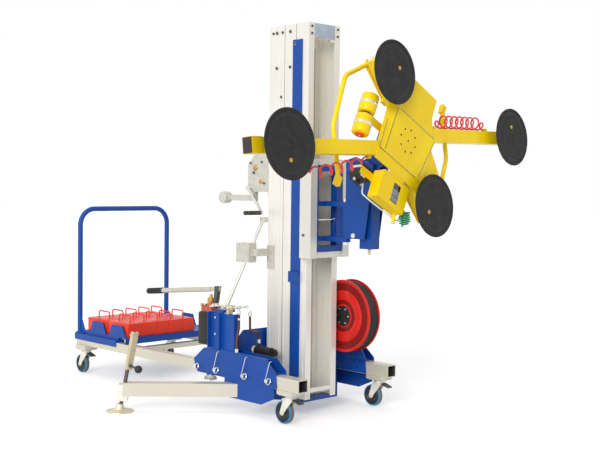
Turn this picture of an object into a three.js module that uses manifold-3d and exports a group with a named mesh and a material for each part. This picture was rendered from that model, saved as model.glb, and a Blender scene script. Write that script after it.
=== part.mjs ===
// Glazing floor crane with a four-pad vacuum lifter.
// Millimetres, +Z up, +X from the ballast towards the load, +Y to the far side of the photograph.
// Lengths along X are taken from the line where the two front wheels touch the floor.
import * as THREE from 'three';
import { mergeVertices } from 'three/addons/utils/BufferGeometryUtils.js';
import Module from 'manifold-3d';

const wasm = await Module();
wasm.setup();

// Fits and cuts shared by all pieces
const seatGap = 0.3;
const runningGap = 0.4;
const slideGap = 0.5;
const cutOverrun = 2;
const weld = 1;
const roundSides = 10;
const discSides = 18;
const ballSides = 10;
const ballRings = 6;
const smallSides = 7;
const tinySides = 6;
const hexSides = 6;
const arcSteps = 3;

// Wheel plan
const track = 713;
const wheelbase = 2014;
const casterTrail = 45;

// Casters
const wheelDiameter = 125;
const wheelHubWidth = 37;
const wheelTreadWidth = 33;
const wheelHubDiameter = 42;
const wheelRimDiameter = 88;
const wheelWebWidth = 16;
const axleDiameter = 12;
const axleHeadDiameter = 21;
const axleHeadThickness = 6;
const forkWall = 4;
const forkEyeDiameter = 32;
const forkCrownWidth = 66;
const forkCrownThickness = 7;
const casterHeight = 165;
const casterPlateThickness = 5;
const casterPlateLength = 106;
const casterPlateWidth = 86;
const swivelHeadDiameter = 62;
const swivelHeadHeight = 16;
const brakePedalLength = 52;
const brakePedalWidth = 40;
const brakePedalThickness = 6;
const brakePedalDrop = 16;
const treadShoulder = 3;
const wheelSides = 14;

// Front leg tubes
const legSize = 70;
const legWall = 5;
const legFrontX = 140;
const legInsertLength = 320;
const legPadThickness = 21;
const legPadOverhang = 6;
const legToBeamStep = 1;

// Rear frame of two long tubes and cross tubes
const beamSize = 60;
const beamWall = 4;
const beamRearX = -2046;
const beamFrontX = -515;
const crossTubeWidth = 50;
const crossTubeHeight = 30;
const crossTubeZ = 211;
const crossTubeXs = [-2005, -1480];

// Chassis side boxes
const sidePlate = 5;
const sideBottomZ = 190;
const sideRearX = -750;
const sideRearZ = 264;
const sideTailX = -658;
const sideTailZ = 337;
const sideRidgeX = -466;
const sideRidgeZ = 346;
const sideBrowX = -108;
const sideBrowZ = 337;
const sideNoseX = -34;
const sideNoseZ = 276;
const sideFrontX = -25;
const sideFootX = -712;
const sideFootLift = 14;
const sideStepX = -556;
const sideStepDepth = 2;
const topFlangeWidth = 24;
const clampBarLength = 14;
const clampBarHeight = 10;
const clampBarXs = [-70, -690];
const pinDiameter = 16;
const pinHeadDiameter = 26;
const pinHeadLength = 10;
const pinTipLength = 12;
const pinZ = 222;
const legPinXs = [-102, -302];
const beamPinXs = [-549, -730];
const ringDiameter = 36;
const ringWire = 6;
const ringTilt = 20;
const ringSections = 4;
const ringSteps = 6;
const lanyardDiameter = 4;
const lanyardSides = 4;
const lanyardSteps = 1;
const lanyardBow = 13;
const lanyardShift = 34;
const spareTubeDiameter = 24;
const spareTubeBore = 15;
const spareTubeLength = 42;
const spareTubeSetShare = 0.333;
const spareTubeXs = [-622, -577];
const spareTubeDrop = 23;
const spareTabThickness = 5;

// Transverse plate, mast seat and mast foot cradle
const crossPlateThickness = 8;
const crossPlateFrontX = -432;
const crossPlateTopZ = 455;
const crossPlateHalfWidth = 318;
const crossPlateShoulder = 36;
const mastSeatHalfWidth = 95;
const mastSeatBottomZ = 200;
const mastSeatTopZ = 440;
const cradleFrontX = -96;
const cradleThickness = 14;
const cradleWidthNear = 130;
const cradleWidthFar = 150;
const cradleLipHeight = 74;
const cradleLipLength = 86;
const cradleLipThickness = 6;

// Outrigger and its sleeves
const outriggerAngle = 47.7;
const outriggerTube = 74;
const outriggerWall = 5;
const outriggerSleeveWall = 10;
const outriggerZ = 131;
const outriggerMouthX = -400;
const outriggerSleeveLength = 285;
const outriggerInsertLength = 215;
const outriggerReach = 610;
const sleeveGussetZ = 130;
const sleeveGussetFrontX = -45;
const sleeveGussetBendX = -150;
const jackLean = 10;
const jackTubeSize = 64;
const jackTubeBottom = 68;
const jackTubeTop = 158;
const jackFootShift = 21;
const spindleDiameter = 24;
const spindleEyeThickness = 14;
const spindleEyeWidth = 18;
const spindleEyeHeight = 46;
const spindleEyeTop = 10;
const footDiameter = 158;
const footHeight = 46;
const footRim = 9;
const rimBevel = 3;
const footNeckDiameter = 40;
const crankRivetZ = 442;
const crankWidth = 36;
const crankDepth = 25;
const crankWall = 4;
const crankFront = 20;
const crankAbove = 20;
const crankBelow = 196;
const crankPinDiameter = 10;
const crankPinDrop = 172;
const knobDiameter = 44;
const knobReach = 100;
const rivetDiameter = 9;
const rivetHeadDiameter = 16;
const rivetHeadLength = 4;

// Ballast platform and push handle
const platformFrontX = -1457;
const platformRearX = -1968;
const platformTopZ = 296;
const platformPlate = 6;
const platformOverhang = 15.5;
const frontRailOverhang = 33.5;
const sideChannelRearX = -2062;
const sideChannelFrontX = -1571;
const sideChannelTopZ = 270;
const sideChannelBottomZ = 228;
const sideChannelWall = 5;
const railSpacerHalf = 15;
const frontRailThickness = 7;
const rearTabBase = [-1895, -1707];
const rearTabTop = [-1863, -1743];
const frontTabBase = [-1677, -1478];
const frontTabTop = [-1638, -1523];
const tabTopZ = 368;
const tabThickness = 5;
const handleTube = 34;
const handleX = -2042;
const handleOutset = 5.5;
const handleTopZ = 1127;
const handleBend = 110;
const handleGussetHeight = 112;
const handleGussetThickness = 6;
const handleFootThickness = 6;
const handleFootWidth = 46;
const handleSides = 8;
const handleBendSteps = 5;

// Ballast weights
const weightRows = 2;
const weightsPerRow = 5;
const weightLength = 230;
const weightWidth = 105.5;
const weightGap = 1.5;
const weightHeight = 88;
const weightRowGap = 10;
const weightFrontX = -1475;
const weightEdgeGap = 12;
const weightHandleLength = 122;
const weightHandleRise = 46;
const weightHandleWire = 9;
const weightHandleBend = 14;
const weightHandleSides = 5;
const weightHandleSteps = 2;
const weightEdge = 3;

// Pump bracket, hand pump and hoses
const bracketRearX = -602;
const bracketFrontX = -393;
const bracketTopZ = 556;
const bracketNearY = -390;
const bracketPlate = 6;
const bracketLap = 6;
const bracketChannelWidth = 98;
const bracketRibDepth = 24;
const bracketBoltZs = [430, 525];
const bracketBoltDiameter = 14;
const bracketBoltLength = 8;
const strutShelfRearX = -560;
const strutShelfLength = 66;
const strutShelfFarY = -296;
const strutShelfThickness = 14;
const tankLength = 122;
const tankDepth = 100;
const tankNearY = -388;
const tankBottomZ = 352;
const tankTopZ = 545;
const tankCorner = 12;
const pumpBaseHeight = 34;
const pumpBaseInset = 14;
const pumpCylinderDiameter = 44;
const pumpCylinderHeight = 46;
const leverPivotX = -604;
const leverPivotZ = 682;
const leverPinDiameter = 10;
const leverThickness = 12;
const leverHeight = 27;
const leverLength = 690;
const leverDrop = 5.7;
const gripLength = 150;
const gripDiameter = 37;
const gripTubeDiameter = 30;
const leverSocketX = 60;
const pumpCheekThickness = 6;
const pumpCheekWidth = 34;
const pumpAxisY = -335;
const pumpBarrelSetback = 62;
const pumpRamDiameter = 20;
const pumpRamHeight = 20;
const pumpValveDiameter = 16;
const pumpValveLength = 20;
const pumpPortLength = 24;
const pumpPortSize = 22;
const pumpHoseDiameter = 13;
const pumpHoseBend = 30;
const pumpHoseNut = 20;
const pumpHoseY = -365;
const pumpPortRise = 45;
const hoseKneeX = -425;
const hoseKneeZ = 590;
const hoseTurnX = -285;
const hoseTurnZ = 610;
const hoseFallX = -300;
const hoseFallY = -350;
const hoseFallZ = 470;
const hoseLandingZ = 440;

// Short hydraulic cylinder behind the near side box
const cylinderDiameter = 54;
const cylinderLength = 150;
const cylinderY = -200;
const cylinderZ = 335;
const cylinderCapDiameter = 46;
const cylinderCapLength = 22;
const cylinderEyeDiameter = 44;
const cylinderEyeSet = 20;
const cylinderEyeThickness = 20;
const cylinderEyeBore = 18;
const cylinderPortDiameter = 16;
const cylinderPortHeight = 14;

// Telescopic mast
const mastWidth = 246.5;
const mastRearX = -410;
const mastFrontX = -86;
const baseStageDepth = 128;
const midStageDepth = 94;
const mastBottomZ = 81;
const mastTopZ = 2200;
const mastWall = 6;
const lipWidth = 42;
const tongueClearance = 0.5;
const tongueHeadThickness = 8;
const tongueHeadOverlap = 22;
const sideGrooveWidth = 8;
const sideGrooveDepth = 2.5;
const grooveShares = [0.18, 0.82];
const ribWidth = 8;
const ribHeight = 14;
const ribYs = [-30, 14, 52];
const topPlateHeight = 80;
const topPlateThickness = 8;
const footBarHeight = 24;
const footBarThickness = 14;
const footBarZ = 118;
const sheaveDiameter = 62;
const sheaveThickness = 14;
const sheaveX = -144;
const sheaveTopDrop = 122;
const sheaveTopY = -48;
const sheaveBottomZ = 275;
const sheaveBottomY = -84;
const sheaveCheekThickness = 4;
const sheaveCheekWidth = 26;
const mastBoltDiameter = 16;
const mastBoltLength = 6;
const mastBoltDrops = [40, 240];
const guardWidth = 75;
const guardThickness = 6;
const guardRearX = -210;
const guardTopDrop = 90;
const guardBottomZ = 95;
const guardClipZ = 742;
const guardClipHeight = 62;
const guardClipDepth = 14;
const guardClipRearX = -214;
const guardClipWall = 4;

// Carriage on the front stage
const carriageBottomZ = 885;
const carriageTopZ = 1440;
const railRearX = -112;
const railFrontX = -24;
const railOuterY = 155;
const railInnerY = 127;
const railFlangeY = 105;
const railWall = 5;
const railFlangeRearX = -84;
const carriageBarHeight = 34;
const carriageBarFrontX = -36;
const shoeNeckHalf = 78;
const shoeHeadHalf = 98;
const shoeHeadThickness = 14;
const shoeHeight = 26;
const frameFrontX = -30;
const frameDepth = 46;
const frameBarNear = 16;
const frameBarFar = 48;
const frameBarHeight = 34;
const tieRodDiameter = 12;
const tieRodZ = 1100;

// Slew axis and its lugs
const slewX = 97;
const slewPinDiameter = 24;
const lugThickness = 28;
const lugRootSetback = 11.5;
const lugWidth = 58;
const lugLowerZ = 980;
const lugUpperZ = 1176;
const slewPinOverhang = 16;
const slewNutDiameter = 40;

// Slew bracket, turned slightly to the far side
const slewRestAngle = 3.24;
const barrelDiameter = 50;
const barrelNeckHalf = 16.5;
const webX = 53;
const bracketWall = 6;
const cheekHalfWidth = 66;
const cheekBottomZ = 1004;
const cheekTopZ = 1450;
const cheekTopX = 120;
const webTopDrop = 18;
const cheekFrontX = 245;
const cheekBottomFrontX = 187;
const cheekCornerDrop = 45;
const tiltSleeveRearX = 130;
const tiltSleeveLength = 82;
const tiltSleeveWidth = 70;
const tiltSleeveBottomZ = 950;
const tiltSleeveTopZ = 1300;
const nippleDiameter = 18;
const nippleLength = 34;
const boltCapDiameter = 26;
const boltCapHeight = 8;
const boltCapX = 113;
const boltCapZ = 1022;

// Tilt head
const tiltPivotX = 200;
const tiltPivotZ = 1370;
const tiltRestAngle = 5.19;
const tiltPinDiameter = 28;
const tiltBarrelDiameter = 58;
const tiltWaistHalf = 19.5;
const tiltCheekThickness = 12;
const tiltCheekOffset = 46;
const tiltCheekLip = 30;
const tiltPinHeadDiameter = 40;
const tiltPinHeadLength = 9;
const spinRise = 141.6;
const lipForward = 287;
const spinPlateDiameter = 190;
const spinPlateThickness = 18;
const spinPlateForward = 125;

// Vacuum lifter, measured from the plane of the pad lips
const spinRestAngle = 28.5;
const lifterFront = 50;
const lifterBack = 120;
const panelRecess = 4;
const panelThickness = 6;
const panelLap = 10;
const hubDiameter = 160;
const hubPilotDiameter = 57;
const hubPilotLength = 12;
const centreHalfLength = 200;
const centreTopP = 126;
const centreBottomP = -152;
const centreFlange = 58;
const centreFlangeDrop = 18;
const flangeHoleCount = 8;
const flangeHoleCircle = 130;
const flangeHoleDiameter = 12;
const flangeHoleDepth = 3;
const upperWingTopP = 340;
const upperWingLeftS = -230;
const upperWingRightS = 141;
const upperWingDrop = 115;
const lowerWingBottomP = -212;
const lowerWingRightS = 235;
const endPanelRightS = 400;
const endPanelTopP = 70;
const endPanelSide = 60;
const rivetShares = [
  [-0.225, 0.4125], [0.15, 0.4], [0.425, 0.4], [0.1, 0.65], [0.275, 0.75], [0.6, 0.05], [0.825, -0.15], [0.65, -0.3],
];
const controlLeftS = -106;
const controlRightS = 121;
const controlBottomP = -381;
const controlFront = 58;
const controlBack = 125;
const controlCorner = 10;
const controlGap = 14;
const controlWindow = [-5, 54, -355, -250];
const controlWindowDepth = 3;
const stubDiameter = 20;
const stubStartS = 100;
const stubEndS = 118;
const stubLength = 45;

// Arms of the lifter
const armAngle = 29.5;
const armHeight = 73;
const armDepth = 58;
const armWall = 4;
const armFront = 61;
const longArmOffset = 36.6;
const shortArmOffset = 65;
const longSleeveEnd = 487;
const shortSleeveEnd = 250;
const longArmEnd = 1145;
const shortArmEnd = 462;
const sleeveStart = 100;
const longSpigot = 262;
const shortSpigot = 105;
const longPadRadius = 956;
const shortPadRadius = 367;
const endCapLength = 66;
const endCapStep = 2;
const hosePortSize = 20;
const hosePortHeight = 18;
const hosePortInner = 292;
const hosePortOuter = 800;

// Suction pads
const padDiameter = 337;
const padLipWidth = 12;
const padRecess = 6;
const padRimThickness = 8;
const padBossDiameter = 130;
const padBossThickness = 32;
const padStemDiameter = 44;
const padValveDiameter = 26;
const padSides = 22;

// Guard hoops of the lifter
const hoopTube = 24;
const hoopDepth = 150;
const hoopBend = 70;
const hoopSteps = 3;
const hoopStartS = -349;
const hoopStartP = 275;
const hoopUpperS = -479;
const hoopUpperP = 118;
const hoopLowerS = -456;
const hoopLowerP = -166;
const hoopEndS = -315;
const hoopEndP = -390;
const hoopBlock = 40;
const hoopBlockWidth = 34;
const hoopStandoff = 20;
const hoopStandS = -390;
const hoopStandP = -262;
const hoopStrapThickness = 7;
const hoopStrapWidth = 40;
const hoopStrapEndS = -140;
const hoopStrapEndP = 165;

// Canisters and vacuum pump on the lifter
const canisterDiameter = 92;
const canisterLength = 112;
const canisterS = -310;
const canisterDepth = 100;
const canisterMiddleP = -20;
const canisterEdge = 5;
const canisterArmThickness = 8;
const canisterNeckDiameter = 60;
const canisterNeckLength = 10;
const canisterMount = 20;
const vacuumPumpLength = 92;
const vacuumPumpHeight = 80;
const vacuumPortHalf = 20;
const vacuumPumpDepth = 74;
const vacuumPumpS = -155;
const vacuumPumpP = -275;
const vacuumMountThickness = 6;
const vacuumPlugDiameter = 24;
const vacuumPlugLength = 22;
const vacuumPumpChamfer = 22;

// Curly hoses of the lifter
const hoseDiameter = 8;
const hoseCoilDiameter = 68;
const hoseSides = 5;
const hoseStepsPerCurl = 8;
const leftCurls = 6;
const rightCurls = 6;
const curlRampTurns = 1;
const greenCoilDiameter = 46;
const greenCurls = 7;
const greenPitch = 14;
const greenStartX = -95;
const greenStartS = 135;
const greenStartP = -330;
const greenAngle = -60;
const greenFittingDiameter = 16;
const greenFittingLength = 50;

// Cable reel on the far side
const reelX = -70;
const reelZ = 538;
const reelNearY = 160;
const reelWidth = 92;
const reelDiameter = 420;
const reelFlange = 4;
const reelRimThickness = 9;
const reelCoreDiameter = 372;
const reelCoreWall = 6;
const reelSleeveDiameter = 64;
const reelHubDiameter = 122;
const reelHubThickness = 3.4;
const reelBoltCircle = 92;
const reelBoltCount = 6;
const reelBoltDiameter = 11;
const reelAxleDiameter = 32;
const reelSides = 18;
const cableDiameter = 14;
const cableLoops = 3;
const cablePitch = 15.5;
const cableSides = 6;
const cableStepsPerLoop = 24;
const reelAxleLength = 88;
const pedestalNearY = 262;
const pedestalThickness = 8;
const pedestalFootRearX = -150;
const pedestalFootFrontX = 22;
const pedestalFootZ = 283;
const pedestalKneeX = -22;
const pedestalKneeZ = 357;
const pedestalTopRadius = 42;
const pedestalShelfFrontX = -52;
const pedestalShelfThickness = 6;

// Winch on the back of the mast
const winchRearX = -586;
const winchBottomZ = 1250;
const winchTopZ = 1470;
const winchWall = 5;
const winchNearY = -128;
const winchInnerWidth = 84;
const winchCorner = 30;
const winchDrumDiameter = 70;
const winchDrumX = -520;
const winchDrumZ = 1390;
const winchGearDiameter = 104;
const winchGearThickness = 12;
const winchShaftX = -470;
const winchShaftZ = 1310;
const winchBearingLength = 10;
const crankPivotX = -570;
const crankPivotZ = 1270;
const crankShaftDiameter = 18;
const crankHubDiameter = 34;
const winchCrankLength = 188;
const winchCrankAngle = 49;
const winchCrankWidth = 20;
const winchCrankThickness = 6;
const winchGripDiameter = 25;
const winchGripLength = 118;
const guideArmLength = 262;
const guideArmHeight = 34;
const guideArmThickness = 12;
const guideArmZ = 1212;
const guideBossDiameter = 70;
const guideBossLength = 40;
const winchPlateWidth = 112;

// Brace strut from the chassis to the mast
const strutDiameter = 21;
const strutTopSetback = 26;
const strutTopY = -140;
const strutTopZ = 1088;
const strutFootSetback = 35;
const strutFootOutset = 34;
const strutFootRise = 39;
const clampZ = 897;
const clampLength = 112;
const clampWidth = 60;
const clampHeight = 112;
const clampArmHeight = 42;
const clampArmWidth = 48;
const clampPlateThickness = 6;
const clampArmZ = 879;
const clampPlateLength = 60;
const clampPlateLap = 20;
const clampPlateHalf = 12;
const clampPlateHeight = 136;
const clampPlateBottomZ = 805;
const strutLugWidth = 46;
const strutLugHeight = 30;
const strutLugThickness = 14;
const strutFootThickness = 6;
const strutFootSize = 46;

// Colours and surface values from the photograph
const bluePaint = { color: 0x2146a0, roughness: 0.42, metalness: 0.1 };
const yellowPaint = { color: 0xf2c81a, roughness: 0.45, metalness: 0.05 };
const redPaint = { color: 0xe8442a, roughness: 0.45, metalness: 0.05 };
const aluminium = { color: 0xcfccc2, roughness: 0.38, metalness: 0.85 };
const galvanised = { color: 0xb9bbb6, roughness: 0.5, metalness: 0.75 };
const zincYellow = { color: 0xc9bd93, roughness: 0.45, metalness: 0.7 };
const blackRubber = { color: 0x2b2b2b, roughness: 0.8, metalness: 0 };
const blackPlastic = { color: 0x242424, roughness: 0.55, metalness: 0 };
const greyTread = { color: 0x80858a, roughness: 0.7, metalness: 0 };
const redHose = { color: 0xdd3a3a, roughness: 0.4, metalness: 0 };
const greenHose = { color: 0x1f9a55, roughness: 0.4, metalness: 0 };
const castRed = { color: 0x9a4a3c, roughness: 0.6, metalness: 0.3 };

const radians = THREE.MathUtils.degToRad;

// Solids and their joining

// Corner numbers of the triangles that have an area, wound so that the surface faces outwards
function outwardTriangles(geometry) {
  const { index, attributes } = geometry;
  const corners = [];
  let volume = 0;
  const [a, b, c] = [new THREE.Vector3(), new THREE.Vector3(), new THREE.Vector3()];
  for (let i = 0; i < index.count; i += 3) {
    const triangle = [index.getX(i), index.getX(i + 1), index.getX(i + 2)];
    if (new Set(triangle).size === 3) {
      corners.push(triangle);
      [a, b, c].forEach((corner, k) => corner.fromBufferAttribute(attributes.position, triangle[k]));
      volume += a.dot(b.cross(c));
    }
  }
  return corners.flatMap(([i, j, k]) => (volume < 0 ? [i, k, j] : [i, j, k]));
}

function toSolid(geometry) {
  const bare = geometry.clone();
  bare.deleteAttribute('normal');
  bare.deleteAttribute('uv');
  const merged = mergeVertices(bare);
  const vertProperties = new Float32Array(merged.attributes.position.array);
  const triVerts = new Uint32Array(outwardTriangles(merged));
  return new wasm.Manifold(new wasm.Mesh({ numProp: 3, vertProperties, triVerts }));
}

function toGeometry(solid) {
  const { vertProperties, triVerts } = solid.getMesh();
  const geometry = new THREE.BufferGeometry();
  geometry.setAttribute('position', new THREE.BufferAttribute(vertProperties, 3));
  geometry.setIndex(new THREE.BufferAttribute(triVerts, 1));
  geometry.computeVertexNormals();
  return geometry;
}

const join = (solids) => solids.reduce((sum, solid) => sum.add(solid));
const cut = (solid, tools) => tools.reduce((rest, tool) => rest.subtract(tool), solid);
const shifted = (solid, x, y, z) => solid.translate([x, y, z]);

function block(x0, x1, y0, y1, z0, z1) {
  const geometry = new THREE.BoxGeometry(x1 - x0, y1 - y0, z1 - z0);
  geometry.translate((x0 + x1) / 2, (y0 + y1) / 2, (z0 + z1) / 2);
  return toSolid(geometry);
}

const outline = (points) => new THREE.Shape(points.map(([a, b]) => new THREE.Vector2(a, b)));

function prism(shape, depth) {
  return new THREE.ExtrudeGeometry(shape, { depth, bevelEnabled: false, curveSegments: arcSteps });
}

// Plate whose outline lies in X and Z, between two values of Y
function plateY(shape, y0, y1) {
  const geometry = prism(shape, y1 - y0);
  geometry.rotateX(Math.PI / 2);
  geometry.translate(0, y1, 0);
  return toSolid(geometry);
}

// Plate whose outline lies in Y and Z, between two values of X
function plateX(shape, x0, x1) {
  const geometry = prism(shape, x1 - x0);
  geometry.rotateX(Math.PI / 2);
  geometry.rotateZ(Math.PI / 2);
  geometry.translate(x0, 0, 0);
  return toSolid(geometry);
}

// Prism whose outline lies in X and Y, between two values of Z
function plateZ(shape, z0, z1) {
  const geometry = prism(shape, z1 - z0);
  geometry.translate(0, 0, z0);
  return toSolid(geometry);
}

// Body turned about +Z, its profile going from the lower axis end to the upper one
function turnedZ(profile, sides) {
  const points = profile.map(([r, h]) => new THREE.Vector2(r, h));
  const geometry = new THREE.LatheGeometry(points, sides);
  geometry.rotateX(Math.PI / 2);
  return toSolid(geometry);
}

function rodX(diameter, x0, x1, y, z, sides = roundSides) {
  const geometry = new THREE.CylinderGeometry(diameter / 2, diameter / 2, x1 - x0, sides);
  geometry.rotateZ(-Math.PI / 2);
  geometry.translate((x0 + x1) / 2, y, z);
  return toSolid(geometry);
}

function rodY(diameter, y0, y1, x, z, sides = roundSides) {
  const geometry = new THREE.CylinderGeometry(diameter / 2, diameter / 2, y1 - y0, sides);
  geometry.translate(x, (y0 + y1) / 2, z);
  return toSolid(geometry);
}

function rodZ(diameter, z0, z1, x, y, sides = roundSides) {
  const geometry = new THREE.CylinderGeometry(diameter / 2, diameter / 2, z1 - z0, sides);
  geometry.rotateX(Math.PI / 2);
  geometry.translate(x, y, (z0 + z1) / 2);
  return toSolid(geometry);
}

// Diameter of a faceted bore whose flats stay clear of a turning rod
function boreFor(diameter, sides = roundSides) {
  return (diameter + 2 * runningGap) / Math.cos(Math.PI / sides);
}

// Body turned about +Y from a closed profile of radius and height
function turnedY(profile, sides) {
  const points = profile.map(([r, h]) => new THREE.Vector2(r, h));
  return toSolid(new THREE.LatheGeometry(points, sides));
}

// The same turned about +X
function turnedX(profile, sides) {
  const points = profile.map(([r, h]) => new THREE.Vector2(r, h));
  const geometry = new THREE.LatheGeometry(points, sides);
  geometry.rotateZ(-Math.PI / 2);
  return toSolid(geometry);
}

function roundedRect(a0, a1, b0, b1, radius) {
  const shape = new THREE.Shape();
  shape.moveTo(a0 + radius, b0);
  shape.lineTo(a1 - radius, b0);
  shape.absarc(a1 - radius, b0 + radius, radius, -Math.PI / 2, 0, false);
  shape.lineTo(a1, b1 - radius);
  shape.absarc(a1 - radius, b1 - radius, radius, 0, Math.PI / 2, false);
  shape.lineTo(a0 + radius, b1);
  shape.absarc(a0 + radius, b1 - radius, radius, Math.PI / 2, Math.PI, false);
  shape.lineTo(a0, b0 + radius);
  shape.absarc(a0 + radius, b0 + radius, radius, Math.PI, Math.PI * 1.5, false);
  return shape;
}

// A path that passes exactly through its knots
class KnotPath extends THREE.Curve {
  constructor(knots) {
    super();
    this.knots = knots;
  }

  getPoint(t) {
    const place = t * (this.knots.length - 1);
    const first = Math.min(Math.floor(place), this.knots.length - 2);
    return this.knots[first].clone().lerp(this.knots[first + 1], place - first);
  }

  getPointAt(u) {
    return this.getPoint(u);
  }

  getTangentAt(u) {
    const last = this.knots.length - 1;
    const index = Math.round(u * last);
    const before = this.knots[Math.max(index - 1, 0)];
    const after = this.knots[Math.min(index + 1, last)];
    const here = this.knots[index];
    const incoming = here.clone().sub(before).normalize();
    const outgoing = after.clone().sub(here).normalize();
    return incoming.add(outgoing).normalize();
  }
}

// Straight runs joined by round bends
function bentRoute(points, bendRadius, stepsPerBend) {
  const corners = points.map((p) => new THREE.Vector3(...p));
  const knots = [corners[0]];
  for (let i = 1; i < corners.length - 1; i += 1) {
    const back = corners[i - 1].clone().sub(corners[i]).normalize();
    const ahead = corners[i + 1].clone().sub(corners[i]).normalize();
    const half = back.angleTo(ahead) / 2;
    const start = corners[i].clone().addScaledVector(back, bendRadius / Math.tan(half));
    const inward = back.clone().add(ahead).normalize();
    const centre = corners[i].clone().addScaledVector(inward, bendRadius / Math.sin(half));
    const axis = back.clone().cross(ahead).normalize();
    const spoke = start.clone().sub(centre);
    const sweep = Math.PI - 2 * half;
    for (let step = 0; step <= stepsPerBend; step += 1) {
      const turn = spoke.clone().applyAxisAngle(axis, -sweep * step / stepsPerBend);
      knots.push(centre.clone().add(turn));
    }
  }
  knots.push(corners[corners.length - 1]);
  return knots;
}

function sweep(knots, diameter, sides) {
  const section = new THREE.Shape();
  for (let side = 0; side < sides; side += 1) {
    const angle = side / sides * Math.PI * 2;
    const x = Math.cos(angle) * diameter / 2;
    const y = Math.sin(angle) * diameter / 2;
    if (side === 0) {
      section.moveTo(x, y);
    } else {
      section.lineTo(x, y);
    }
  }
  section.closePath();
  const options = { steps: knots.length - 1, bevelEnabled: false, extrudePath: new KnotPath(knots) };
  return new THREE.ExtrudeGeometry(section, options);
}

const pipe = (points, diameter, bend, sides, steps) =>
  toSolid(sweep(bentRoute(points, bend, steps), diameter, sides));

function straightPipe(from, to, diameter, sides = roundSides) {
  return toSolid(sweep([new THREE.Vector3(...from), new THREE.Vector3(...to)], diameter, sides));
}

function piece(name, solid, look) {
  const mesh = new THREE.Mesh(toGeometry(solid), new THREE.MeshStandardMaterial(look));
  mesh.name = name;
  return mesh;
}

// Places worked out from the sizes above
const railY = track / 2;
const frontSwivelX = casterTrail;
const rearSwivelX = casterTrail - wheelbase;
const legBottomZ = casterHeight + legPadThickness;
const legTopZ = legBottomZ + legSize;
const legRearX = sideFrontX - legInsertLength;
const beamTopZ = legTopZ - legToBeamStep;
const beamBottomZ = beamTopZ - beamSize;
const sideInnerY = railY - legSize / 2 - slideGap;
const sideOuterY = railY + legSize / 2 + slideGap;
const halfMast = mastWidth / 2;
const platformHalfWidth = railY + platformOverhang;
const frontRailHalfWidth = railY + frontRailOverhang;
const weightNearY = weightEdgeGap - platformHalfWidth;
const handleHalfWidth = railY + handleOutset;
const sheaveTopZ = mastTopZ - sheaveTopDrop;
const guardTopZ = mastTopZ - guardTopDrop;
const midStageRearX = mastRearX + baseStageDepth + slideGap;
const frontStageRearX = midStageRearX + midStageDepth + slideGap;
const outriggerX = -Math.cos(radians(outriggerAngle));
const outriggerY = -Math.sin(radians(outriggerAngle));

const mirrored = (solid) => solid.mirror([0, 1, 0]);
const bothSides = (solid) => solid.add(mirrored(solid));
const moved = (solid, matrix) => solid.transform(matrix.elements);

// Casters

function buildFork() {
  const gapHalf = wheelHubWidth / 2 + runningGap;
  const outer = gapHalf + forkWall;
  const crownTop = casterHeight - casterPlateThickness - seatGap - swivelHeadHeight;
  const crownBottom = crownTop - forkCrownThickness;
  const axleZ = wheelDiameter / 2;
  const eye = forkEyeDiameter / 2;
  const cheek = new THREE.Shape();
  cheek.moveTo(-casterTrail - eye, axleZ);
  cheek.absarc(-casterTrail, axleZ, eye, Math.PI, Math.PI * 2, false);
  cheek.lineTo(forkCrownWidth / 2, crownBottom);
  cheek.lineTo(forkCrownWidth / 2, crownTop);
  cheek.lineTo(-forkCrownWidth / 2, crownTop);
  cheek.closePath();
  const cheeks = bothSides(plateY(cheek, gapHalf, outer));
  const crown = block(-forkCrownWidth / 2, forkCrownWidth / 2, -outer, outer, crownBottom, crownTop);
  const head = rodZ(swivelHeadDiameter, crownTop - weld, crownTop + swivelHeadHeight, 0, 0);
  const axle = rodY(axleDiameter, -outer, outer, -casterTrail, axleZ);
  const nut = rodY(axleHeadDiameter, outer - weld, outer + axleHeadThickness, -casterTrail, axleZ, hexSides);
  const pedalX = forkCrownWidth / 2 - weld;
  const pedal = plateY(outline([
    [pedalX, crownTop - brakePedalThickness],
    [pedalX + brakePedalLength, crownTop - brakePedalThickness - brakePedalDrop],
    [pedalX + brakePedalLength, crownTop - brakePedalDrop],
    [pedalX, crownTop],
  ]), -brakePedalWidth / 2, brakePedalWidth / 2);
  return join([cheeks, crown, head, axle, bothSides(nut), pedal]);
}

function buildWheel() {
  const bore = boreFor(axleDiameter, wheelSides) / 2;
  const hub = wheelHubDiameter / 2;
  const rim = wheelRimDiameter / 2;
  const tread = wheelDiameter / 2;
  const hubHalf = wheelHubWidth / 2;
  const webHalf = wheelWebWidth / 2;
  const treadHalf = wheelTreadWidth / 2;
  const side = [
    [bore, hubHalf], [hub, hubHalf], [hub, webHalf], [rim, webHalf],
    [rim, treadHalf], [tread - treadShoulder, treadHalf], [tread, treadHalf / 2],
  ];
  const under = side.map(([r, h]) => [r, -h]);
  const profile = [...under, ...side.reverse(), under[0]];
  const wheel = turnedY(profile, wheelSides);
  return shifted(wheel, -casterTrail, 0, wheelDiameter / 2);
}

function casters() {
  const fork = buildFork();
  const wheel = buildWheel();
  const places = [
    ['front_near', frontSwivelX, -railY], ['front_far', frontSwivelX, railY],
    ['rear_near', rearSwivelX, -railY], ['rear_far', rearSwivelX, railY],
  ];
  return places.flatMap(([name, x, y]) => [
    piece(`caster_fork_${name}`, shifted(fork, x, y, 0), galvanised),
    piece(`caster_wheel_${name}`, shifted(wheel, x, y, 0), greyTread),
  ]);
}

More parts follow.
